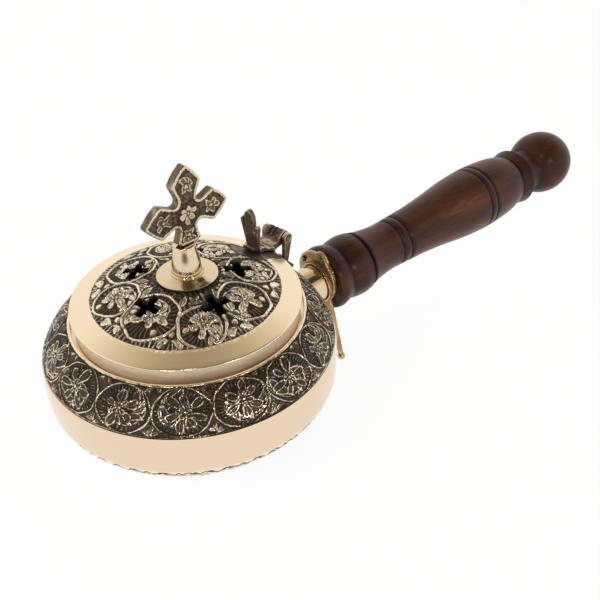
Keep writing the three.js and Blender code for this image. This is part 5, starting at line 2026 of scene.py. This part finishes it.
@dataclass
class Rivets:
    """The four domed rivets of the hinge: two through the ears' foot, two through the lid's edge."""

    bowl: Bowl
    lid: Lid
    hinge: Hinge
    turning: Tree
    scatter: Tree

    def rivet(self, low: float, high: float) -> bpy.types.Object:
        """One rivet along Z, with a domed head above high and below low."""
        hinge = self.hinge
        turns = np.linspace(0, math.pi / 2, 7)
        cap = [(hinge.rivet_head * math.cos(t), hinge.rivet_rise * math.sin(t)) for t in turns]
        line = [(r, low - z) for r, z in reversed(cap)] + [(hinge.rivet_radius, low), (hinge.rivet_radius, high)]
        line += [(r, high + z) for r, z in cap]
        return new_object("rivet", turned_mesh("rivet", np.array(line), self.turning, 24, CAST, 50))

    def set_in(
        self, name: str, spots: list[Matrix], rivet: bpy.types.Object, body: Body, nodes: tuple[str, ...],
    ) -> None:
        """Sets a rivet on each spot and hands the piece over.

        Args:
            name: the piece's name.
            spots: frames of the rivets in the hinge's own frame.
            rivet: the rivet's solid.
            body: the body it rides on.
            nodes: the CAD nodes that it stands for.
        """
        mesh = new_mesh(name, np.array([spot.translation for spot in spots]), [])
        ways = [spot.to_3x3() @ Vector((0, 0, 1)) for spot in spots]
        mesh.attributes.new("axis", "FLOAT_VECTOR", "POINT").data.foreach_set("vector", np.array(ways).ravel())
        made = self.scatter.run(name, mesh, {"Rivet": rivet, "Material": material_of(CAST)})
        bpy.data.objects.remove(rivet)
        store(made, "relief", np.full(len(made.vertices), 0.8))
        mark_edges(made)
        hand_over(name, made, body, CAST, nodes, self.hinge.hinge_frame())

    def build(self) -> None:
        """Builds the rivets of both bodies."""
        bowl, lid, hinge = self.bowl, self.lid, self.hinge
        shoulder = bowl.shoulder()
        spot = shoulder[round(hinge.ear_rivet_share * (len(shoulder) - 1))]
        tilt = Matrix.Rotation(math.pi / 2 - math.radians(hinge.ear_rivet_angle), 4, "Y")
        side = math.asin(hinge.ear_rivet_across / spot[0])
        spots = [
            Matrix.Rotation(sign * side, 4, "Z") @ Matrix.Translation((spot[0], 0, spot[1])) @ tilt
            for sign in (-1, 1)
        ]
        solid = self.rivet(-bowl.wall - hinge.gap, hinge.ear_foot_thickness + 2 * hinge.gap)
        self.set_in("ear_rivets", spots, solid, Body.CENSER, ("bracket_rivet_1", "bracket_rivet_2"))

        reach, across = hinge.lid_rivet_reach, hinge.lid_rivet_spacing / 2
        level = lid.level_at(math.hypot(reach, across))
        fall = math.atan((lid.dome_level - lid.edge_level) / (lid.edge_radius - lid.dome_radius))
        tilt = Matrix.Rotation(fall, 4, "Y")
        spots = [Matrix.Translation((reach, sign * across, level)) @ tilt for sign in (-1, 1)]
        solid = self.rivet(-lid.wall - hinge.gap, hinge.plate_thickness - hinge.rivet_rise * 0.6)
        self.set_in("lid_rivets", spots, solid, Body.LID, ("lid_rivet_1", "lid_rivet_2"))


class Studio:
    """Floor, light and camera."""

    camera_at = (-95.9, -189.3, 202.9)
    camera_forward = (0.498, 0.636, -0.589)
    lens = 42.0
    sensor = 36.0
    nearest = 0.01
    aim = Vector((40, 0, 30))
    open_side = (-0.452, -0.892, 0.0)
    dark_card = (0.52, -0.31, 0.795)
    card_at = (-185.0, -236.0)
    card_half_width = 230.0
    card_low = 7.0
    card_height = 44.0
    floor_half = 3000.0
    floor_glow = 0.93
    side_share = 0.6
    cloth_top = 1.2
    # Colours of the cloth by height, from the horizon to above the object
    cloth = (
        (0.0, (1.0, 1.0, 1.0)), (0.55, (1.0, 0.99, 0.97)), (0.72, (0.64, 0.59, 0.45)),
        (0.79, (0.41, 0.37, 0.27)), (0.88, (0.10, 0.09, 0.075)),
    )
    # Name, place and side in millimetres, power in watts, and whether it is seen only as a glint
    lamps = (
        ("Left softbox", (-650, 150, 420), 420, 5.0, False),
        ("Right softbox", (420, -620, 380), 420, 3.0, False),
        ("Left spark", (-520, -420, 330), 100, 0.5, True),
        ("Near spark", (60, -680, 400), 100, 0.5, True),
        ("High spark", (-220, -330, 620), 60, 0.3, True),
    )

    def flat_piece(self, name: str, points: list[tuple], material: bpy.types.Material) -> bpy.types.Object:
        """A flat four-sided piece of the stage.

        Args:
            name: its name.
            points: its corners in millimetres.
            material: its material.

        Returns:
            The piece.
        """
        mesh = new_mesh(name, np.array(points), [(0, 1, 2, 3)])
        mesh.transform(Matrix.Scale(METRES, 4))
        mesh.materials.append(material)
        return new_object(name, mesh)

    def floor(self) -> None:
        """A wide pale floor that shows as white and keeps the object's shadow."""
        material, desk = new_material("Pale floor")
        paint = desk.out("ShaderNodeBsdfDiffuse", {"Color": (0.9, 0.9, 0.9, 1)})
        glow = desk.out("ShaderNodeEmission", {"Color": (1, 1, 1, 1), "Strength": 1.0})
        share = desk.math("MULTIPLY", desk.seen_by("Camera", "Glossy", "Transmission"), self.floor_glow)
        desk.add("ShaderNodeOutputMaterial", {0: desk.out("ShaderNodeMixShader", {0: share, 1: paint, 2: glow})})
        half = self.floor_half
        spots = [(-half, -half, 0), (half, -half, 0), (half, half, 0), (-half, half, 0)]
        floor = self.flat_piece("floor", spots, material)

    def world(self) -> None:
        """White surroundings, as in a tent of cloth that is open above and towards the camera."""
        world = bpy.data.worlds.new("Studio")
        bpy.context.scene.world = world
        world.use_nodes = True
        desk = Desk(world.node_tree)
        way = desk.add("ShaderNodeTexCoord").outputs["Generated"]
        up = desk.add("ShaderNodeSeparateXYZ", {0: way}).outputs[2]
        shade = desk.spread(desk.dot(way, self.dark_card), 0.94, 0.97, 1.0, 0.12)
        towards = desk.math("MAXIMUM", desk.dot(way, self.open_side), 0.0)
        over = desk.math("MULTIPLY_ADD", towards, self.side_share, up)
        cloth = desk.ramp(desk.math("DIVIDE", over, self.cloth_top), self.cloth)
        flagged = desk.out("ShaderNodeVectorMath", {0: cloth, 3: shade}, operation="SCALE")
        white = desk.blend(desk.seen_by("Camera", "Transmission"), flagged, (1, 1, 1, 1))
        desk.add("ShaderNodeOutputWorld", {0: desk.out("ShaderNodeBackground", {"Color": white, "Strength": 1.0})})

    def black_card(self) -> None:
        """A black card on the near side, which only the polished metal shows."""
        x, y = self.card_at
        side = np.array([y, -x]) / math.hypot(x, y) * self.card_half_width
        left, right = (x - side[0], y - side[1]), (x + side[0], y + side[1])
        low, high = self.card_low, self.card_height
        material, desk = new_material("Black card")
        desk.principled({"Base Color": (0.05, 0.045, 0.035, 1), "Roughness": 1.0})
        card = self.flat_piece("black_card", [(*left, low), (*right, low), (*right, high), (*left, high)], material)
        card.visible_camera = card.visible_diffuse = card.visible_shadow = card.visible_transmission = False

    def lamp(self, name: str, at: Colour, size: float, power: float, shown: bool) -> None:
        """Adds a square soft lamp that points at the object.

        Args:
            name: the lamp's name.
            at: its place in millimetres.
            size: its side in millimetres.
            power: its power in watts.
            shown: true if it is only seen as a glint in the metal, false if it only lights dull surfaces.
        """
        light = bpy.data.lights.new(name, "AREA")
        light.shape = "SQUARE"
        light.size = size * METRES
        light.energy = power
        lamp = new_object(name, light)
        lamp.location = Vector(at) * METRES
        lamp.rotation_euler = (self.aim - Vector(at)).to_track_quat("-Z", "Y").to_euler()
        lamp.visible_glossy = shown
        lamp.visible_diffuse = not shown

    def camera(self) -> None:
        """The camera at the photograph's place."""
        data = bpy.data.cameras.new("Camera")
        data.lens = self.lens
        data.sensor_width = self.sensor
        data.clip_start = self.nearest
        camera = new_object("Camera", data)
        camera.location = Vector(self.camera_at) * METRES
        camera.rotation_euler = Vector(self.camera_forward).to_track_quat("-Z", "Y").to_euler()
        bpy.context.scene.camera = camera

    def build(self) -> None:
        """Builds the whole stage."""
        self.floor()
        self.black_card()
        self.world()
        for lamp in self.lamps:
            self.lamp(*lamp)
        self.camera()
        bpy.context.scene.view_settings.view_transform = "Standard"


def dress_hidden_steel() -> None:
    """Gives the steel finish to the fasteners that keep their CAD solids."""
    for name in (
        "hinge_pin", "plate_nail", "tang_rod", "tang_washer", "tang_nut",
        "finial_stud", "finial_washer", "finial_nut",
    ):
        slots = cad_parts[name].data.materials
        slots.clear()
        slots.append(material_of(STEEL))
        log.info("%s: steel", name)


def main() -> None:
    """Builds the object, the stage, the light and the camera."""
    turning, scatter = turning_tree(), scatter_tree()
    bowl, lid, hinge = Bowl(), Lid(), Hinge()
    finial = Finial(lid)
    bowl.build(ring_tree())
    lid.build(turning, piercing_tree())
    finial.build_stem(turning)
    finial.build_cross()
    hinge.build()
    Rivets(bowl, lid, hinge, turning, scatter).build()
    Handle().build(bowl, turning)
    dress_hidden_steel()
    Studio().build()


if __name__ == "__main__":
    main()
